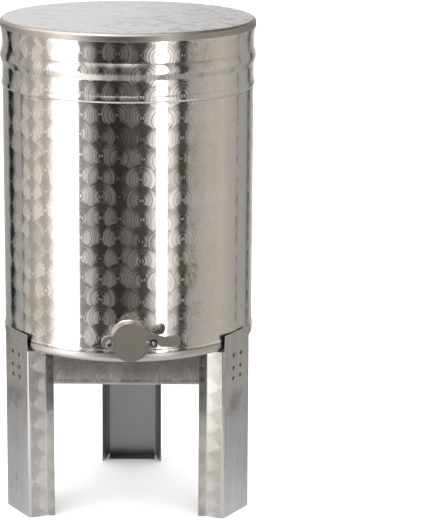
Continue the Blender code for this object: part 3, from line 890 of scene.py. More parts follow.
def spin(loop, steps=ROUND_STEPS, middle=(0.0, AXIS_Y)):
    """Turn a closed loop of (radius, height) points about an upright line."""
    bm = bmesh.new()
    rings = []
    for radius, height in loop:
        if radius < 1e-7:
            rings.append([bm.verts.new((middle[0], middle[1], height))])
            continue
        ring = []
        for i in range(steps):
            angle = 2.0 * math.pi * i / steps
            x = middle[0] + radius * math.cos(angle)
            y = middle[1] + radius * math.sin(angle)
            ring.append(bm.verts.new((x, y, height)))
        rings.append(ring)
    for first, second in zip(rings, rings[1:] + rings[:1]):
        if len(first) == 1 and len(second) == 1:
            continue
        for i in range(steps):
            corners = [first[i % len(first)], first[(i + 1) % len(first)]]
            corners += [second[(i + 1) % len(second)], second[i % len(second)]]
            bm.faces.new(list(dict.fromkeys(corners)))
    return bm


def arc(middle, radius, start, end, steps):
    """Points along an arc, angles in degrees, both ends included."""
    points = []
    for i in range(steps + 1):
        angle = math.radians(start + (end - start) * i / steps)
        points.append((middle[0] + radius * math.cos(angle), middle[1] + radius * math.sin(angle)))
    return points


def circle(middle, radius, steps):
    """Points of a full circle."""
    return arc(middle, radius, 0.0, 360.0, steps)[:-1]


def slab(outline, low, high, *holes):
    """Flat plate between two heights, with holes through it."""
    bm = bmesh.new()
    edges = []
    for loop in (outline, *holes):
        verts = [bm.verts.new((x, y, low)) for x, y in loop]
        edges += [bm.edges.new((verts[i - 1], verts[i])) for i in range(len(verts))]
    filled = bmesh.ops.triangle_fill(bm, use_beauty=True, use_dissolve=False, edges=edges)
    faces = [item for item in filled["geom"] if isinstance(item, bmesh.types.BMFace)]
    raised = bmesh.ops.extrude_face_region(bm, geom=faces)
    verts = [item for item in raised["geom"] if isinstance(item, bmesh.types.BMVert)]
    bmesh.ops.translate(bm, verts=verts, vec=(0.0, 0.0, high - low))
    return bm


def moved(bm, matrix):
    """Move a mesh, and give it back."""
    bmesh.ops.transform(bm, matrix=matrix, verts=bm.verts)
    return bm


def merge(bm, other):
    """Add one bmesh to another."""
    mesh = bpy.data.meshes.new("merging")
    other.to_mesh(mesh)
    other.free()
    bm.from_mesh(mesh)
    bpy.data.meshes.remove(mesh)


def join_round(bm, profiles):
    """Join closed profiles that stand in a ring, each to the one before it."""
    for i, second in enumerate(profiles):
        first = profiles[i - 1]
        for j in range(len(first)):
            bm.faces.new((first[j - 1], first[j], second[j], second[j - 1]))


def step_between(value, low, high):
    """Rise smoothly from 0 to 1 between two values, or fall where high is under low."""
    share = min(max((value - low) / (high - low), 0.0), 1.0)
    return share * share * (3.0 - 2.0 * share)


def bead_rise(height, bead):
    """How far a rolled bead stands out: a round upper part over a straight sloping one."""
    if height >= bead["crest"]:
        share = (height - bead["crest"]) / (bead["top"] - bead["crest"])
        return bead["rise"] * max(0.0, 1.0 - share * share)
    share = max(0.0, (height - bead["foot"]) / (bead["crest"] - bead["foot"]))
    return bead["rise"] * share * (1.15 - 0.15 * share ** 6)


def wall_radius(height):
    """Outer radius of the wall at one height."""
    flare = RIM_FLARE * step_between(height, RIM_FLARE_LOW, RIM_FLARE_FULL)
    tuck = RIM_FLARE * step_between(height, RIM_TUCK_LOW, WALL_TOP)
    foot = FOOT_FLARE * step_between(height, FOOT_FLARE_TOP, FOOT_FLARE_LOW)
    beads = bead_rise(height, WIDE_BEAD) + bead_rise(height, NARROW_BEAD)
    return TANK_RADIUS + flare - tuck + foot + beads


def spread(high, low, count):
    """Evenly spaced heights from a high one down to a low one."""
    return [high + (low - high) * i / count for i in range(count + 1)]


def wall_heights():
    """Heights of the wall's rings, from the top down."""
    heights = spread(WALL_TOP, RIM_TUCK_LOW, 4) + spread(RIM_FLARE_FULL, RIM_FLARE_LOW, 8)
    heights += spread(WIDE_BEAD["top"] + 0.0008, WIDE_BEAD["foot"] - 0.0008, 28)
    heights += spread(NARROW_BEAD["top"] + 0.0006, NARROW_BEAD["foot"] - 0.0006, 22)
    heights += spread(0.6200, 0.2900, 12) + spread(FOOT_FLARE_TOP, FOOT_FLARE_LOW, 8)
    return heights + [WALL_BOTTOM]


def turned(angle):
    """Turn about the upright axis."""
    return Matrix.Rotation(angle, 4, "Z")


def gate_matrix():
    """Place of the tap: right, up and outward from the middle of its bore on the wall."""
    x = TANK_RADIUS * math.sin(GATE_AZIMUTH)
    y = AXIS_Y - TANK_RADIUS * math.cos(GATE_AZIMUTH)
    return Matrix.Translation((x, y, GATE_HEIGHT)) @ turned(GATE_FACING) @ UPRIGHT


def at_gate(bm, right=0.0, turn=0.0):
    """Move a mesh made on the tap's own axes to its place on the tank."""
    return moved(bm, gate_matrix() @ Matrix.Translation((right, 0.0, 0.0)) @ turned(turn))


def cut_with(piece, cutter_bm):
    """Cut a shape out of a piece for good, and remove the cutting shape."""
    bmesh.ops.recalc_face_normals(cutter_bm, faces=cutter_bm.faces)
    cutter = new_object("cutter", cutter_bm, [])
    cut = piece.modifiers.new("cut", "BOOLEAN")
    cut.object = cutter
    cut.operation = "DIFFERENCE"
    cut.solver = "EXACT"
    graph = bpy.context.evaluated_depsgraph_get()
    result = bpy.data.meshes.new_from_object(piece.evaluated_get(graph))
    piece.modifiers.remove(cut)
    old, piece.data = piece.data, result
    # The cutting object goes with its mesh
    for mesh in (old, cutter.data):
        bpy.data.meshes.remove(mesh)
    result.name = piece.name


class STORAGETANK_OT_wall(bpy.types.Operator):
    """Build the rolled wall with its two beads"""

    bl_idname = "storagetank.wall"
    bl_label = "Build Wall"

    def execute(self, context):
        settings = context.scene.storage_tank
        outer = [(wall_radius(height), height) for height in wall_heights()]
        inner = [(radius - WALL_THICKNESS, height) for radius, height in reversed(outer)]
        steel = make_swirled_steel(
            "swirled wall steel", settings.tank_colour, round_wall_axes,
            (settings.swirl_pitch, settings.swirl_radius), WALL_POLISH, 4.0, wear=wall_stains_and_ridge_light,
        )
        wall = put_piece("tank_shell", spin(outer + inner), [steel])
        cut_with(wall, at_gate(slab(circle((0.0, 0.0), BORE_RADIUS, BORE_STEPS), *BORE_CUT)))
        hand_over(wall, "tank", "swirled_steel", "tank_wall")
        return {"FINISHED"}


class STORAGETANK_OT_pan(bpy.types.Operator):
    """Build the shallow pan that closes the bottom"""

    bl_idname = "storagetank.pan"
    bl_label = "Build Bottom Pan"

    def execute(self, context):
        settings = context.scene.storage_tank
        inset = TANK_RADIUS - WALL_THICKNESS - TOUCH_GAP
        corner = (PAN_RADIUS - PAN_CORNER, PAN_LOW + PAN_CORNER)
        rest_x = corner[0] - PAN_REST_WIDTH
        recess_x = rest_x - PAN_RECESS_SLOPE
        shoulder = PAN_SHOULDER_ROUND
        under = [(inset, PAN_RIM_TOP), (inset, PAN_SHOULDER)]
        under += arc((PAN_RADIUS - shoulder, PAN_SHOULDER - shoulder), shoulder, 90.0, 0.0, 4)
        under += arc(corner, PAN_CORNER, 0.0, -90.0, 12)
        under += [(rest_x, PAN_LOW), (rest_x - 0.2 * PAN_RECESS_SLOPE, PAN_LOW + 0.0004)]
        under += [(recess_x, PAN_LOW + PAN_RECESS), (0.0, PAN_LOW + PAN_RECESS)]
        floor = PAN_LOW + PAN_THICKNESS
        over = [(0.0, floor + PAN_RECESS), (recess_x, floor + PAN_RECESS), (rest_x, floor)]
        over += arc(corner, PAN_CORNER - PAN_THICKNESS, -90.0, -30.0, 5)
        over += [(inset - PAN_THICKNESS, top) for top in (PAN_SHOULDER - 0.0040, PAN_RIM_TOP)]
        colour = tinted(settings.tank_colour, 0.86)
        steel = make_brushed_steel("spun pan steel", colour, 0.34, 0.08, 1500.0)
        pan = put_piece("tank_pan", spin(under + over), [steel])
        hand_over(pan, "tank", "smooth_steel", "tank_bottom")
        return {"FINISHED"}


class STORAGETANK_OT_lid(bpy.types.Operator):
    """Build the flat lift-off lid with its brushed skirt"""

    bl_idname = "storagetank.lid"
    bl_label = "Build Lid"

    def execute(self, context):
        settings = context.scene.storage_tank
        edge = LID_RADIUS - LID_EDGE
        inside = LID_TOP - LID_THICKNESS
        bend = LID_EDGE_BEND
        inner_bend = bend - LID_THICKNESS
        skirt = LID_RADIUS + LID_SKIRT_FLARE
        outer = [(0.0, LID_TOP), (0.09, LID_TOP), (0.17, LID_TOP)]
        outer += arc((edge, LID_TOP - bend), bend, 90.0, 45.0, 4)
        outer += arc((LID_RADIUS - bend, LID_TOP - LID_RADIUS + edge), bend, 45.0, 0.0, 4)
        outer += [(skirt, LID_SKIRT_BOTTOM + 0.0004), (skirt - 0.0003, LID_SKIRT_BOTTOM)]
        inner = [(skirt - LID_THICKNESS, LID_SKIRT_BOTTOM)]
        inner += arc((LID_RADIUS - bend, inside - LID_RADIUS + edge), inner_bend, 0.0, 45.0, 3)
        inner += arc((edge, inside - bend + LID_THICKNESS), inner_bend, 45.0, 90.0, 3)
        inner += [(0.0, inside)]
        bm = spin(outer + inner)
        bm.normal_update()
        # The flat faces are swirled, the rounded edge is turned and the rest is brushed
        for face in bm.faces:
            up = face.normal.z
            face.material_index = 0 if abs(up) > 0.97 else 2 if up > 0.30 else 1
        swirled = make_swirled_steel(
            "swirled lid steel", tinted(settings.tank_colour, 1.04, 1.02, 1.06), flat_sheet_axes,
            (settings.swirl_pitch, settings.swirl_radius), LID_POLISH, 9.0, across=False,
        )
        skirt_colour = tinted(settings.tank_colour, 0.61, 0.585, 0.565)
        brushed = make_brushed_steel(
            "brushed skirt steel", skirt_colour, 0.38, 0.20, streak=1.4, side_shaded=True,
        )
        turned_edge = make_brushed_steel(
            "turned edge steel", LID_EDGE_COLOUR, 0.19, 0.05, streak=0.1,
        )
        lid = put_piece("lid_cover", bm, [swirled, brushed, turned_edge])
        hand_over(lid, "lid", "swirled_steel", "lid")
        return {"FINISHED"}


def rounded_line(line, radius, steps=5):
    """Round the inner corners of an open line."""
    points = [Vector(line[0])]
    for before, corner, after in zip(line, line[1:], line[2:]):
        corner = Vector(corner)
        back = (Vector(before) - corner).normalized()
        ahead = (Vector(after) - corner).normalized()
        half = back.angle(ahead) / 2.0
        reach = radius / math.tan(half)
        middle = corner + (back + ahead).normalized() * (radius / math.sin(half))
        start = corner + back * reach - middle
        end = corner + ahead * reach - middle
        sweep = start.angle_signed(end)
        for i in range(steps + 1):
            turn = Matrix.Rotation(-sweep * i / steps, 2)
            points.append(middle + turn @ start)
    points.append(Vector(line[-1]))
    return points


def inner_line(points, thickness):
    """The other face of a folded sheet, one thickness to the left of an open line."""
    inner = []
    for i, point in enumerate(points):
        before = (point - points[i - 1]).normalized() if i > 0 else None
        after = (points[i + 1] - point).normalized() if i < len(points) - 1 else None
        first = (before or after).orthogonal()
        second = (after or before).orthogonal()
        normal = (first + second).normalized()
        inner.append(point + normal * thickness / normal.dot(first))
    return inner


def folded_sheet(line, levels_of):
    """Stand a folded sheet up. levels_of gives the heights of the stretch after each point."""
    outer = rounded_line(line, BEND)
    inner = inner_line(outer, SHEET)
    bm = bmesh.new()
    made = {}

    def corner(side, i, height):
        key = (side, i, height)
        if key not in made:
            x, y = (outer, inner)[side][i]
            made[key] = bm.verts.new((x, y, height))
        return made[key]

    def quad(*keys):
        return bm.faces.new([corner(*key) for key in keys])

    count = len(outer)
    spans = [levels_of(outer[i], outer[i + 1]) for i in range(count - 1)]
    for i, levels in enumerate(spans):
        for low, high in zip(levels, levels[1:]):
            quad((0, i, low), (0, i + 1, low), (0, i + 1, high), (0, i, high))
            inside = quad((1, i, low), (1, i, high), (1, i + 1, high), (1, i + 1, low))
            inside.material_index = INNER
        low, high = levels[0], levels[-1]
        quad((0, i, low), (1, i, low), (1, i + 1, low), (0, i + 1, low)).material_index = CUT
        quad((0, i, high), (0, i + 1, high), (1, i + 1, high), (1, i, high)).material_index = CUT
    for i in range(count):
        before = set(zip(spans[i - 1], spans[i - 1][1:])) if i > 0 else set()
        after = set(zip(spans[i], spans[i][1:])) if i < count - 1 else set()
        for low, high in before ^ after:
            quad((0, i, low), (0, i, high), (1, i, high), (1, i, low)).material_index = CUT
    return bm


def leg_line():
    """Outer line of a leg in plan, seen with its web at -Y: lip, flange, web, flange, lip."""
    reach = (LIP_LENGTH * math.cos(LIP_TURN), LIP_LENGTH * math.sin(LIP_TURN))
    lip_end = (LEG_FOLD[0] + reach[0], LEG_FOLD[1] + reach[1])
    right = [(WEB_WIDTH / 2.0, -WEB_DISTANCE), LEG_FOLD, lip_end]
    return [(-x, y) for x, y in reversed(right)] + right


def leg_levels(start, end):
    """Heights of one stretch of a leg: the web stands taller than the flanges and lips."""
    on_web = abs((start.y + end.y) / 2.0 + WEB_DISTANCE) < 0.0003
    return (0.0, FLANGE_TOP, WEB_TOP) if on_web else (0.0, FLANGE_TOP)


def leg_finish(face):
    """Which finish a face on the outside of a leg gets."""
    middle = face.calc_center_median()
    if middle.y < TOUCH_GAP - WEB_DISTANCE:
        return WEB
    if min(edge.calc_length() for edge in face.edges) < BEND * 0.4:
        return CREASE
    return LIP if abs(middle.x) > LEG_FOLD[0] else OUTER


def foot_mesh():
    """Foot plate of a leg, turned up at its outer edge."""
    half = WEB_WIDTH / 2.0 - SHEET - FOOT_RELIEF
    start = SHEET / 2.0 - WEB_DISTANCE

    def strip(end, low, high):
        return slab([(-half, start), (half, start), (half, end), (-half, end)], low, high)

    foot = strip(FOOT_DEPTH - WEB_DISTANCE, 0.0, SHEET)
    merge(foot, strip(start + SHEET, SHEET, FOOT_UPTURN))
    for face in foot.faces:
        face.material_index = INNER
    return foot


def stand_matrix(turn):
    """Turn a piece of the stand about the tank's axis."""
    return Matrix.Translation((0.0, AXIS_Y, 0.0)) @ turned(math.radians(turn))


def apron_line():
    """Outer line of an apron in plan: its run behind two lips and its two folded tabs."""
    cosine, sine = math.cos(LIP_TURN / 2.0), math.sin(LIP_TURN / 2.0)
    run = LEG_FOLD[0] * cosine - LEG_FOLD[1] * sine - SHEET - TOUCH_GAP
    web = WEB_DISTANCE - SHEET - TOUCH_GAP
    corner_x = (web - run * sine) / cosine
    tab = (corner_x + APRON_TAB * math.cos(LIP_TURN), -run + APRON_TAB * math.sin(LIP_TURN))
    return [(-tab[0], tab[1]), (-corner_x, -run), (corner_x, -run), tab]


def leg_steels(settings):
    """Finishes of a leg, in the order of their names at the top."""
    colour = settings.stand_colour
    return [
        make_swirled_steel(
            "swirled flange steel", colour, upright_sheet_axes, FLANGE_DISC, FLANGE_POLISH, 17.0,
            wear=flange_painted_shade,
        ),
        make_mill_steel("mill stand steel", settings.inner_colour, 0.34, gap_shaded=True),
        make_mill_steel("cut edge steel", settings.fastener_colour, 0.30),
        make_web_steel("smudged web steel", colour),
        # The lip's copy of the stand steel is painted darker, a painted shade
        make_swirled_steel(
            "swirled lip steel", tinted(colour, 0.78), upright_sheet_axes, FLANGE_DISC,
            FLANGE_POLISH, 19.0, wear=lip_painted_shade,
        ),
        make_mill_steel("bright bend steel", settings.fastener_colour, 0.10),
    ]


def apron_steels(settings):
    """Finishes of an apron: outer face, inner face and cut edge."""
    # The apron's copy of the stand steel is painted darker, a painted shade
    outer = make_swirled_steel(
        "swirled apron steel", tinted(settings.stand_colour, 0.70), apron_sheet_axes,
        APRON_DISC, APRON_POLISH, 23.0, wear=apron_marks_and_edge_light,
    )
    return [outer, bpy.data.materials["mill stand steel"], bpy.data.materials["cut edge steel"]]


class STORAGETANK_OT_legs(bpy.types.Operator):
    """Build the three folded legs with their foot plates"""

    bl_idname = "storagetank.legs"
    bl_label = "Build Legs"

    def execute(self, context):
        steels = leg_steels(context.scene.storage_tank)
        for name, turn in LEG_TURNS.items():
            bm = folded_sheet(leg_line(), leg_levels)
            for face in bm.faces:
                if face.material_index == OUTER:
                    face.material_index = leg_finish(face)
            merge(bm, foot_mesh())
            moved(bm, stand_matrix(turn))
            leg = put_piece(f"{name}_sheet", bm, steels, bevel=SHEET_BEVEL)
            hand_over(leg, "tank", "stand_steel", name)
        return {"FINISHED"}


class STORAGETANK_OT_aprons(bpy.types.Operator):
    """Build the three aprons between the legs"""

    bl_idname = "storagetank.aprons"
    bl_label = "Build Aprons"

    def execute(self, context):
        steels = apron_steels(context.scene.storage_tank)
        for name, turn in APRON_TURNS.items():
            bm = folded_sheet(apron_line(), lambda start, end: (APRON_BOTTOM, APRON_TOP))
            moved(bm, stand_matrix(turn))
            apron = put_piece(f"{name}_sheet", bm, steels, bevel=SHEET_BEVEL)
            hand_over(apron, "tank", "stand_steel", name)
        return {"FINISHED"}


def weld_mark():
    """One spot weld at the origin, facing +Z: a shallow dimple in a raised, tinted ring."""
    rings = [(WELD_RADIUS * share, height) for share, height in WELD_RINGS]
    bm = spin(rings, SCREW_STEPS, (0.0, 0.0))
    for face in bm.faces:
        distance = face.calc_center_median().xy.length
        face.material_index = 1 if distance < WELD_MIDDLE_SHARE * WELD_RADIUS else 0
    return bm


def weld_places():
    """Spot welds of one leg, seen with its web at -Y: x, y, height and the turn of its face."""
    on_lip = Vector((math.cos(LIP_TURN), math.sin(LIP_TURN))) * (LIP_LENGTH * 0.52)
    on_lip += Vector(LEG_FOLD)
    places = [
        (side * WEB_WELD_ACROSS, -WEB_DISTANCE, height, 0.0)
        for height in WEB_WELD_HEIGHTS for side in (-1.0, 1.0)
    ]
    places += [
        (side * on_lip.x, on_lip.y, height, side * LIP_TURN)
        for height in LIP_WELD_HEIGHTS for side in (1.0, -1.0)
    ]
    return places


class STORAGETANK_OT_welds(bpy.types.Operator):
    """Build the spot welds on the webs and the lips"""

    bl_idname = "storagetank.welds"
    bl_label = "Build Spot Welds"

    def execute(self, context):
        colour = context.scene.storage_tank.weld_colour
        steels = [
            make_tinted_steel("weld heat tint", colour),
            make_mill_steel("weld middle", tinted(colour, 2.2), 0.34),
        ]
        bm = bmesh.new()
        marks = 0
        for turn in LEG_TURNS.values():
            for x, y, height, facing in weld_places():
                marks += 1
                aside = math.sin(marks * 12.9) * WELD_STRAY[0]
                above = math.cos(marks * 7.3) * WELD_STRAY[1]
                place = Matrix.Translation((x, y, height + above)) @ turned(facing)
                place = place @ Matrix.Translation((aside, 0.0, 0.0)) @ UPRIGHT
                merge(bm, moved(weld_mark(), stand_matrix(turn) @ place))
        welds = put_piece("spot_welds", bm, steels)
        hand_over(welds, "tank", "stand_steel")
        return {"FINISHED"}


def wall_outward(x, y, gate):
    """How far outward the tank's wall lies at a place on the tap."""
    start = gate @ Vector((x, y, 0.0)) - Vector((0.0, AXIS_Y, 0.0))
    way = gate.to_3x3() @ Vector(UP)
    radius = wall_radius(GATE_HEIGHT + y)
    along = start.xy.dot(way.xy)
    return -along + math.sqrt(along ** 2 + radius ** 2 - start.xy.length_squared)


def neck_mesh():
    """Pipe from the wall to the plate, with a small fillet where it is joined to the wall."""
    bm = bmesh.new()
    gate = gate_matrix()
    profiles = []
    for i in range(NECK_STEPS):
        angle = 2.0 * math.pi * i / NECK_STEPS
        ray = Vector((math.cos(angle), math.sin(angle)))
        profile = []
        for radius, outward, beyond in NECK_RINGS:
            x, y = ray * radius
            base = wall_outward(x, y, gate) if outward is None else outward
            profile.append(bm.verts.new((x, y, base + beyond)))
        profiles.append(profile)
    join_round(bm, profiles)
    return bm


def plate_outline():
    """Ring with an ear on each side."""
    reach = (EAR_OFFSET ** 2 + PLATE_RADIUS ** 2 - EAR_RADIUS ** 2) / (2.0 * EAR_OFFSET)
    up = math.sqrt(PLATE_RADIUS ** 2 - reach ** 2)
    ring = math.degrees(math.atan2(up, reach))
    ear = math.degrees(math.atan2(up, reach - EAR_OFFSET))
    points = arc((0.0, 0.0), PLATE_RADIUS, ring, 180.0 - ring, 40)
    points += arc((-EAR_OFFSET, 0.0), EAR_RADIUS, 180.0 - ear, 180.0 + ear, 24)[1:]
    points += arc((0.0, 0.0), PLATE_RADIUS, 180.0 + ring, 360.0 - ring, 40)[1:]
    points += arc((EAR_OFFSET, 0.0), EAR_RADIUS, -ear, ear, 24)[1:-1]
    return points


def blade_outline():
    """Blade round its bore: pivot ear, disc, clamp lobe, waisted handle and open notch."""
    middle, stud = (0.0, 0.0), (EAR_OFFSET, 0.0)
    handle_end = (HANDLE_REACH - HANDLE_END_RADIUS, HANDLE_END_UP)
    handle_low = HANDLE_END_UP - HANDLE_END_RADIUS
    left_low = math.degrees(math.asin(handle_low / BLADE_RADIUS))
    points = arc((-EAR_OFFSET, 0.0), BLADE_EAR_RADIUS, 61.0, 299.0, 28)
    points += arc(middle, BLADE_RADIUS, 198.0, 359.0 + left_low, 56)[1:]
    points += [(EAR_OFFSET - NOTCH_HALF_WIDTH, -0.0015)]
    points += arc(stud, NOTCH_HALF_WIDTH, 180.0, 0.0, 16)
    points += [(EAR_OFFSET + NOTCH_HALF_WIDTH, handle_low)]
    points += arc(handle_end, HANDLE_END_RADIUS, -90.0, 82.0, 20)
    points += [(HANDLE_WAIST[0] + right, HANDLE_WAIST[1] + up) for right, up in HANDLE_WAIST_CURVE]
    points += arc(stud, BLADE_LOBE_RADIUS, 52.0, 116.0, 12)
    points += arc(middle, BLADE_RADIUS, 24.5, 162.0, 44)[1:-1]
    return points


def hexagon_piece(back, front, hole, chamfer_back=False):
    """Hexagon nut or head whose front corners are turned off, with a hole or a flat face."""
    bm = bmesh.new()
    flat = NUT_HALF_FLATS * 0.95
    sixth = math.pi / 3.0
    profiles = []
    for i in range(NUT_STEPS):
        angle = 2.0 * math.pi * i / NUT_STEPS
        edge = NUT_HALF_FLATS / math.cos((angle + sixth / 2.0) % sixth - sixth / 2.0)
        drop = (edge - flat) * math.tan(math.radians(30.0))
        profile = [(hole, back), (flat, back), (edge, back + (drop if chamfer_back else 0.0001))]
        profile += [(edge, front - drop), (flat, front)]
        profile += [(hole + 0.0003, front), (hole, front - 0.0003)]
        x, y = Vector((math.cos(angle), math.sin(angle)))
        profiles.append([bm.verts.new((x * radius, y * radius, z)) for radius, z in profile])
    join_round(bm, profiles)
    return bm


def threaded_rod(back, front):
    """Round rod with a screw thread and a turned-off end."""
    bm = bmesh.new()
    rows = int((front - back) / THREAD_PITCH * 8.0)
    rings = []
    for j in range(rows + 1):
        height = back + (front - back) * j / rows
        ring = []
        for i in range(SCREW_STEPS):
            turn = i / SCREW_STEPS
            phase = (height / THREAD_PITCH - turn) % 1.0
            groove = THREAD_DEPTH * (1.0 - abs(2.0 * phase - 1.0))
            ease = min(1.0, (front - height) / THREAD_PITCH)
            radius = SHANK_RADIUS - groove * ease - 0.0005 * (1.0 - ease)
            angle = 2.0 * math.pi * turn
            ring.append(bm.verts.new((radius * math.cos(angle), radius * math.sin(angle), height)))
        rings.append(ring)
    for first, second in zip(rings, rings[1:]):
        for i in range(SCREW_STEPS):
            bm.faces.new((first[i - 1], first[i], second[i], second[i - 1]))
    bm.faces.new(rings[0])
    bm.faces.new(rings[-1])
    return bm


def washer_mesh():
    """Small washer with broken edges."""
    soft = 0.00025
    edge = WASHER_RADIUS - soft
    loop = [(HOLE_RADIUS, WASHER_BACK), (edge, WASHER_BACK), (WASHER_RADIUS, WASHER_BACK + soft)]
    loop += [(WASHER_RADIUS, WASHER_FRONT - soft), (edge, WASHER_FRONT)]
    return spin(loop + [(HOLE_RADIUS, WASHER_FRONT)], WASHER_STEPS, (0.0, 0.0))


def tap_steels(settings):
    """Finishes of the tap: satin blade, brighter body, bright fasteners, and dark steel painted on
    the pivot's screw end and the wing nut's hub, a painted shade.
    """
    if bpy.data.materials.get("satin blade steel") is None:
        make_satin_steel("satin blade steel", settings.tap_colour, 0.46)
        make_satin_steel("satin tap body steel", tinted(settings.tap_colour, 1.60), 0.30)
        make_satin_steel("bright fastener steel", settings.fastener_colour, 0.27)
        make_mill_steel("shaded screw end steel", SCREW_END_SHADE_COLOUR, 0.36)
        make_mill_steel("shaded hub steel", HUB_SHADE_COLOUR, 0.40)
    return bpy.data.materials


def turn_front_faces(piece, right, reach, least):
    """Give the second material to the faces near a screw's axis that look forward."""
    place = gate_matrix()
    axis = place @ Vector((right, 0.0, 0.0))
    outward = (place.to_3x3() @ Vector(UP)).normalized()
    for polygon in piece.data.polygons:
        away = polygon.center - axis
        across = (away - outward * away.dot(outward)).length
        if polygon.normal.dot(outward) > least and across < reach:
            polygon.material_index = 1


class STORAGETANK_OT_tap(bpy.types.Operator):
    """Build the tap's neck and plate, its pivot and its clamp stud"""

    bl_idname = "storagetank.tap"
    bl_label = "Build Tap Body"

    def execute(self, context):
        steels = tap_steels(context.scene.storage_tank)
        body = steels["satin tap body steel"]
        bright = steels["bright fastener steel"]
        dull = steels["shaded screw end steel"]
        neck = put_piece("tap_neck", at_gate(neck_mesh()), [body], 50.0)
        hand_over(neck, "tank", "smooth_steel", "gate_neck")
        holes = [circle((0.0, 0.0), BORE_RADIUS, BORE_STEPS)]
        for side in (-1.0, 1.0):
            holes.append(circle((side * EAR_OFFSET, 0.0), HOLE_RADIUS, HOLE_STEPS))
        plate = at_gate(slab(plate_outline(), PLATE_BACK, PLATE_FRONT, *holes))
        plate = put_piece("tap_plate", plate, [body], bevel=0.0007, segments=3)
        hand_over(plate, "tank", "smooth_steel", "gate_plate")
        self.fasteners(bright, dull, steels["satin blade steel"])
        return {"FINISHED"}

    def fasteners(self, bright, dull, satin):
        """Bolt and nut of the pivot, the clamp's stud, and a washer on each."""
        screws = (
            ("pivot", -EAR_OFFSET, PIVOT_END, "pivot_bolt"),
            ("clamp", EAR_OFFSET, STUD_END, "clamp_stud"),
        )
        for name, right, end, node in screws:
            bm = hexagon_piece(HEAD_BACK, HEAD_FRONT, 0.0012, True)
            merge(bm, threaded_rod(HEAD_FRONT - 0.0010, end))
            bolt = put_piece(f"{name}_screw", at_gate(bm, right), [bright, dull])
            # The cut end of the pivot is painted dark, a painted shade
            axis = gate_matrix() @ Vector((right, 0.0, 0.0))
            for polygon in bolt.data.polygons:
                outer = (polygon.center - axis).length > end - 0.0004
                polygon.material_index = 1 if outer and name == "pivot" else 0
            hand_over(bolt, "tank", "plated_steel", node)
            washer = put_piece(f"{name}_flat_washer", at_gate(washer_mesh(), right), [satin])
            hand_over(washer, "tank", "plated_steel", f"{name}_washer")
        nut = hexagon_piece(NUT_BACK, NUT_BACK + NUT_THICKNESS, HOLE_RADIUS)
        nut = put_piece("pivot_hex_nut", at_gate(nut, -EAR_OFFSET), [bright, satin], 22.0)
        turn_front_faces(nut, -EAR_OFFSET, NUT_HALF_FLATS, 0.97)
        hand_over(nut, "tank", "plated_steel", "pivot_nut")


class STORAGETANK_OT_blade(bpy.types.Operator):
    """Build the swinging blade with its handle"""

    bl_idname = "storagetank.blade"
    bl_label = "Build Blade"

    def execute(self, context):
        steels = tap_steels(context.scene.storage_tank)
        hole = circle((-EAR_OFFSET, 0.0), HOLE_RADIUS, HOLE_STEPS)
        bm = at_gate(slab(blade_outline(), BLADE_BACK, BLADE_FRONT, hole))
        blade = put_piece("tap_blade", bm, [steels["satin blade steel"]], bevel=0.0004)
        hand_over(blade, "gate_blade", "matte_steel", "gate_blade")
        return {"FINISHED"}


class STORAGETANK_OT_wing_nut(bpy.types.Operator):
    """Build the wing nut that clamps the blade"""

    bl_idname = "storagetank.wing_nut"
    bl_label = "Build Wing Nut"

    def execute(self, context):
        steels = tap_steels(context.scene.storage_tank)
        hub_top = NUT_BACK + WING_HUB_HEIGHT
        loop = [(HOLE_RADIUS, NUT_BACK), (WING_HUB_RADIUS - 0.0003, NUT_BACK)]
        loop += [(WING_HUB_RADIUS, NUT_BACK + 0.0003), (WING_HUB_TOP_RADIUS, hub_top - 0.0004)]
        loop += [(WING_HUB_TOP_RADIUS - 0.0005, hub_top), (HOLE_RADIUS + 0.0002, hub_top)]
        bm = spin(loop + [(HOLE_RADIUS, hub_top - 0.0002)], WASHER_STEPS, (0.0, 0.0))
        for turn in (0.0, math.pi):
            wing = slab(WING_OUTLINE, -WING_THICKNESS / 2.0, WING_THICKNESS / 2.0)
            place = Matrix.Translation((0.0, 0.0, NUT_BACK)) @ turned(turn) @ UPRIGHT
            merge(bm, moved(wing, place))
        at_gate(bm, EAR_OFFSET, WING_TURN)
        finishes = [steels["bright fastener steel"], steels["shaded hub steel"]]
        nut = put_piece("wing_nut_cast", bm, finishes, bevel=0.0004)
        # The hub's forward faces take the dark steel, a painted shade
        turn_front_faces(nut, EAR_OFFSET, WING_HUB_RADIUS, 0.05)
        hand_over(nut, "wing_nut", "plated_steel", "wing_nut")
        return {"FINISHED"}


def warm_grey(brightness, warmth, peak=1.0):
    """A grey as a share of a peak, a little red for a warmth above 0."""
    grey = brightness / peak
    return (grey * (1.0 + warmth / 2.0), grey, grey * (1.0 - warmth / 2.0), 1.0)


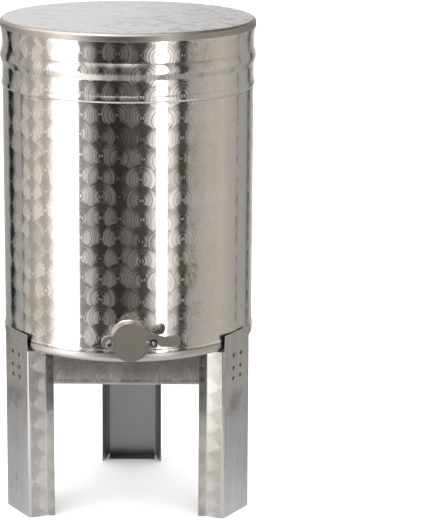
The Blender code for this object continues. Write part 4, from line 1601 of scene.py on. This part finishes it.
def make_surround_light():
    """Glow of the studio's walls and lights, by direction."""
    material, nodes = new_material("studio surround")
    x, y, z = nodes.split(nodes.vector("NORMALIZE", own_place(nodes)))
    turn = nodes.math("ABSOLUTE", nodes.math("ARCTAN2", x, 0.0 - y)) / math.pi

    def dimmed(glows):
        return [warm_grey(*glow, SURROUND_PEAK) for glow in glows]

    def side(bands):
        colours = dimmed(glow for _, *glow in bands)
        return nodes.ramp(turn, [(band[0] / 180.0, grey) for band, grey in zip(bands, colours)])

    whole = nodes.mix(x > 0.0, side(SURROUND_LEFT), side(SURROUND_RIGHT))
    backdrop = nodes.mix(nodes.rise(x, -0.05, 0.02), *dimmed(BACKDROP_GLOW))
    whole = nodes.mix(nodes.rise(z, 0.05, 0.16) * nodes.rise(y, 0.70, 0.92), whole, backdrop)
    ceiling = nodes.mix(nodes.rise(x, 0.10, 0.45), *dimmed(CEILING_GLOW))
    whole = nodes.mix(nodes.rise(z, 0.26, 0.66), whole, ceiling)
    across = x / nodes.math("MAXIMUM", z, 0.1)
    along = y / nodes.math("MAXIMUM", z, 0.1) - across * across * 0.72
    lamp = nodes.rise(across, -1.50, -1.05) * nodes.rise(across, 0.42, 0.20)
    lamp = lamp * nodes.rise(z, 0.60, 0.72) * nodes.rise(along, 0.10, 0.00)
    whole = nodes.mix(lamp, whole, *dimmed([OVERHEAD_GLOW]))
    nodes.finish(nodes.glow(whole, SURROUND_PEAK))
    material.cycles.emission_sampling = "NONE"
    return material


def make_table_light():
    """Glow of the pale table top, brightest in front and toward the large light."""
    material, nodes = new_material("table in reflections")
    x, y, _ = nodes.split(own_place(nodes))
    distance = nodes.math("SQRT", x * x + y * y)
    front = nodes.rise(0.0 - y, -0.10, 0.20)
    beside = nodes.rise(nodes.math("ABSOLUTE", x), 0.15, 0.50)
    near = nodes.mix(front, *[warm_grey(*glow) for glow in TABLE_NEAR_GLOW])
    front_far = nodes.mix(beside, *[warm_grey(*glow) for glow in TABLE_FAR_FRONT_GLOW])
    far = nodes.mix(front, warm_grey(*TABLE_FAR_BACK_GLOW), front_far)
    strip = nodes.rise(distance, 0.50, 0.90)
    wide = nodes.rise(distance, 0.22, 1.05)
    plain = nodes.mix(nodes.mix(front * (1.0 - beside), wide, strip, "FLOAT"), near, far)
    across = nodes.math("ABSOLUTE", x * 0.64 - y * 0.77)
    lamp = nodes.rise(x * -0.77 + y * -0.64, 0.20, 0.80) * nodes.rise(across, 0.50, 0.25)
    glow = nodes.glow(nodes.mix(lamp, plain, warm_grey(*TABLE_LAMP_GLOW)), 1.0)
    edge = nodes.rise(distance, TABLE_RADIUS - TABLE_FADE, TABLE_RADIUS)
    nodes.finish(nodes.blend(edge, glow, nodes.add("ShaderNodeBsdfTransparent")))
    material.cycles.emission_sampling = "NONE"
    return material


def make_floor(colour):
    """Plain pale studio floor."""
    material, nodes = new_material("studio floor")
    tone = cloudy(nodes, nodes.noise(own_place(nodes), 3.0), colour, 0.99, 1.0)
    nodes.finish(nodes.add("ShaderNodeBsdfPrincipled", None, {
        "Base Color": tone, "Roughness": 0.9, "Specular IOR Level": 0.0,
        "Emission Color": (1.0, 1.0, 1.0, 1.0), "Emission Strength": 0.10,
    }))
    return material


def stage_piece(name, material, place, hidden_from, create, **shape):
    """Add a piece of the studio, made by a bmesh function and hidden from some kinds of rays."""
    bm = bmesh.new()
    create(bm, **shape)
    piece = new_object(name, bm, [material])
    piece.location = place
    for rays in hidden_from:
        setattr(piece, f"visible_{rays}", False)


class STORAGETANK_OT_stage(bpy.types.Operator):
    """Set up the floor, the soft light, what the steel mirrors and the camera"""

    bl_idname = "storagetank.stage"
    bl_label = "Build Stage"

    def execute(self, context):
        scene = context.scene
        scene.view_settings.view_transform = "Standard"
        stage_piece(
            "studio_floor", make_floor(scene.storage_tank.floor_colour), FLOOR_PLACE, ["glossy"],
            bmesh.ops.create_grid, x_segments=1, y_segments=1, size=FLOOR_SIZE,
        )
        all_but_glossy = ["camera", "diffuse", "transmission", "volume_scatter", "shadow"]
        stage_piece(
            "studio_surround", make_surround_light(), SURROUND_PLACE, all_but_glossy,
            bmesh.ops.create_uvsphere, u_segments=96, v_segments=48, radius=SURROUND_RADIUS,
        )
        stage_piece(
            "table_in_reflections", make_table_light(), TABLE_PLACE, all_but_glossy,
            bmesh.ops.create_circle, cap_ends=True, segments=96, radius=TABLE_RADIUS,
        )
        self.lights(scene)
        self.camera(scene)
        return {"FINISHED"}

    def lights(self, scene):
        """Even pale light from all round, and one large soft light above."""
        world = bpy.data.worlds.new("pale studio")
        world.use_nodes = True
        nodes = Nodes(world.node_tree)
        inputs = {"Color": (1.0, 1.0, 1.0, 1.0), "Strength": SKY_STRENGTH}
        sky = nodes.add("ShaderNodeBackground", None, inputs)
        nodes.add("ShaderNodeOutputWorld", None, {"Surface": sky})
        scene.world = world
        light = bpy.data.lights.new("soft light", "AREA")
        light.shape = "DISK"
        light.size = SOFT_LIGHT_SIZE
        light.energy = SOFT_LIGHT_ENERGY
        lamp = bpy.data.objects.new("soft light", light)
        lamp.location = SOFT_LIGHT_PLACE
        lamp.rotation_euler = SOFT_LIGHT_TURN
        lamp.visible_glossy = False
        scene.collection.objects.link(lamp)

    def camera(self, scene):
        """Look at the tank as the photograph does."""
        camera = bpy.data.objects.new("camera", bpy.data.cameras.new("camera"))
        camera.data.lens = CAMERA_LENS
        camera.data.sensor_fit = "AUTO"
        camera.data.sensor_width = CAMERA_SENSOR
        camera.data.clip_end = 100.0
        aim = turned(CAMERA_YAW) @ Matrix.Rotation(math.pi / 2.0 + CAMERA_PITCH, 4, "X")
        camera.matrix_world = Matrix.Translation(CAMERA_PLACE) @ aim @ turned(CAMERA_ROLL)
        scene.collection.objects.link(camera)
        scene.camera = camera


OPERATORS = (
    STORAGETANK_OT_stage, STORAGETANK_OT_wall, STORAGETANK_OT_pan, STORAGETANK_OT_lid,
    STORAGETANK_OT_legs, STORAGETANK_OT_aprons, STORAGETANK_OT_welds, STORAGETANK_OT_tap,
    STORAGETANK_OT_blade, STORAGETANK_OT_wing_nut,
)


class STORAGETANK_PT_panel(bpy.types.Panel):
    """Sidebar panel with the tank's settings and its pieces"""

    bl_idname = "STORAGETANK_PT_panel"
    bl_label = "Storage Tank"
    bl_space_type = "VIEW_3D"
    bl_region_type = "UI"
    bl_category = "Storage Tank"

    def draw(self, context):
        settings = context.scene.storage_tank
        column = self.layout.column()
        for name in StorageTankSettings.__annotations__:
            column.prop(settings, name)
        for operator in OPERATORS:
            column.operator(operator.bl_idname)


def register():
    """Add the classes to Blender, and the settings to its scenes."""
    for item in (StorageTankSettings, *OPERATORS, STORAGETANK_PT_panel):
        bpy.utils.register_class(item)
    bpy.types.Scene.storage_tank = PointerProperty(type=StorageTankSettings)


def unregister():
    """Take the classes and the settings out of Blender again."""
    del bpy.types.Scene.storage_tank
    for item in reversed((StorageTankSettings, *OPERATORS, STORAGETANK_PT_panel)):
        bpy.utils.unregister_class(item)


def main():
    """Build every piece in turn."""
    register()
    for operator in OPERATORS:
        name = operator.bl_idname.split(".")[1]
        getattr(bpy.ops.storagetank, name)()


if __name__ == "__main__":
    main()
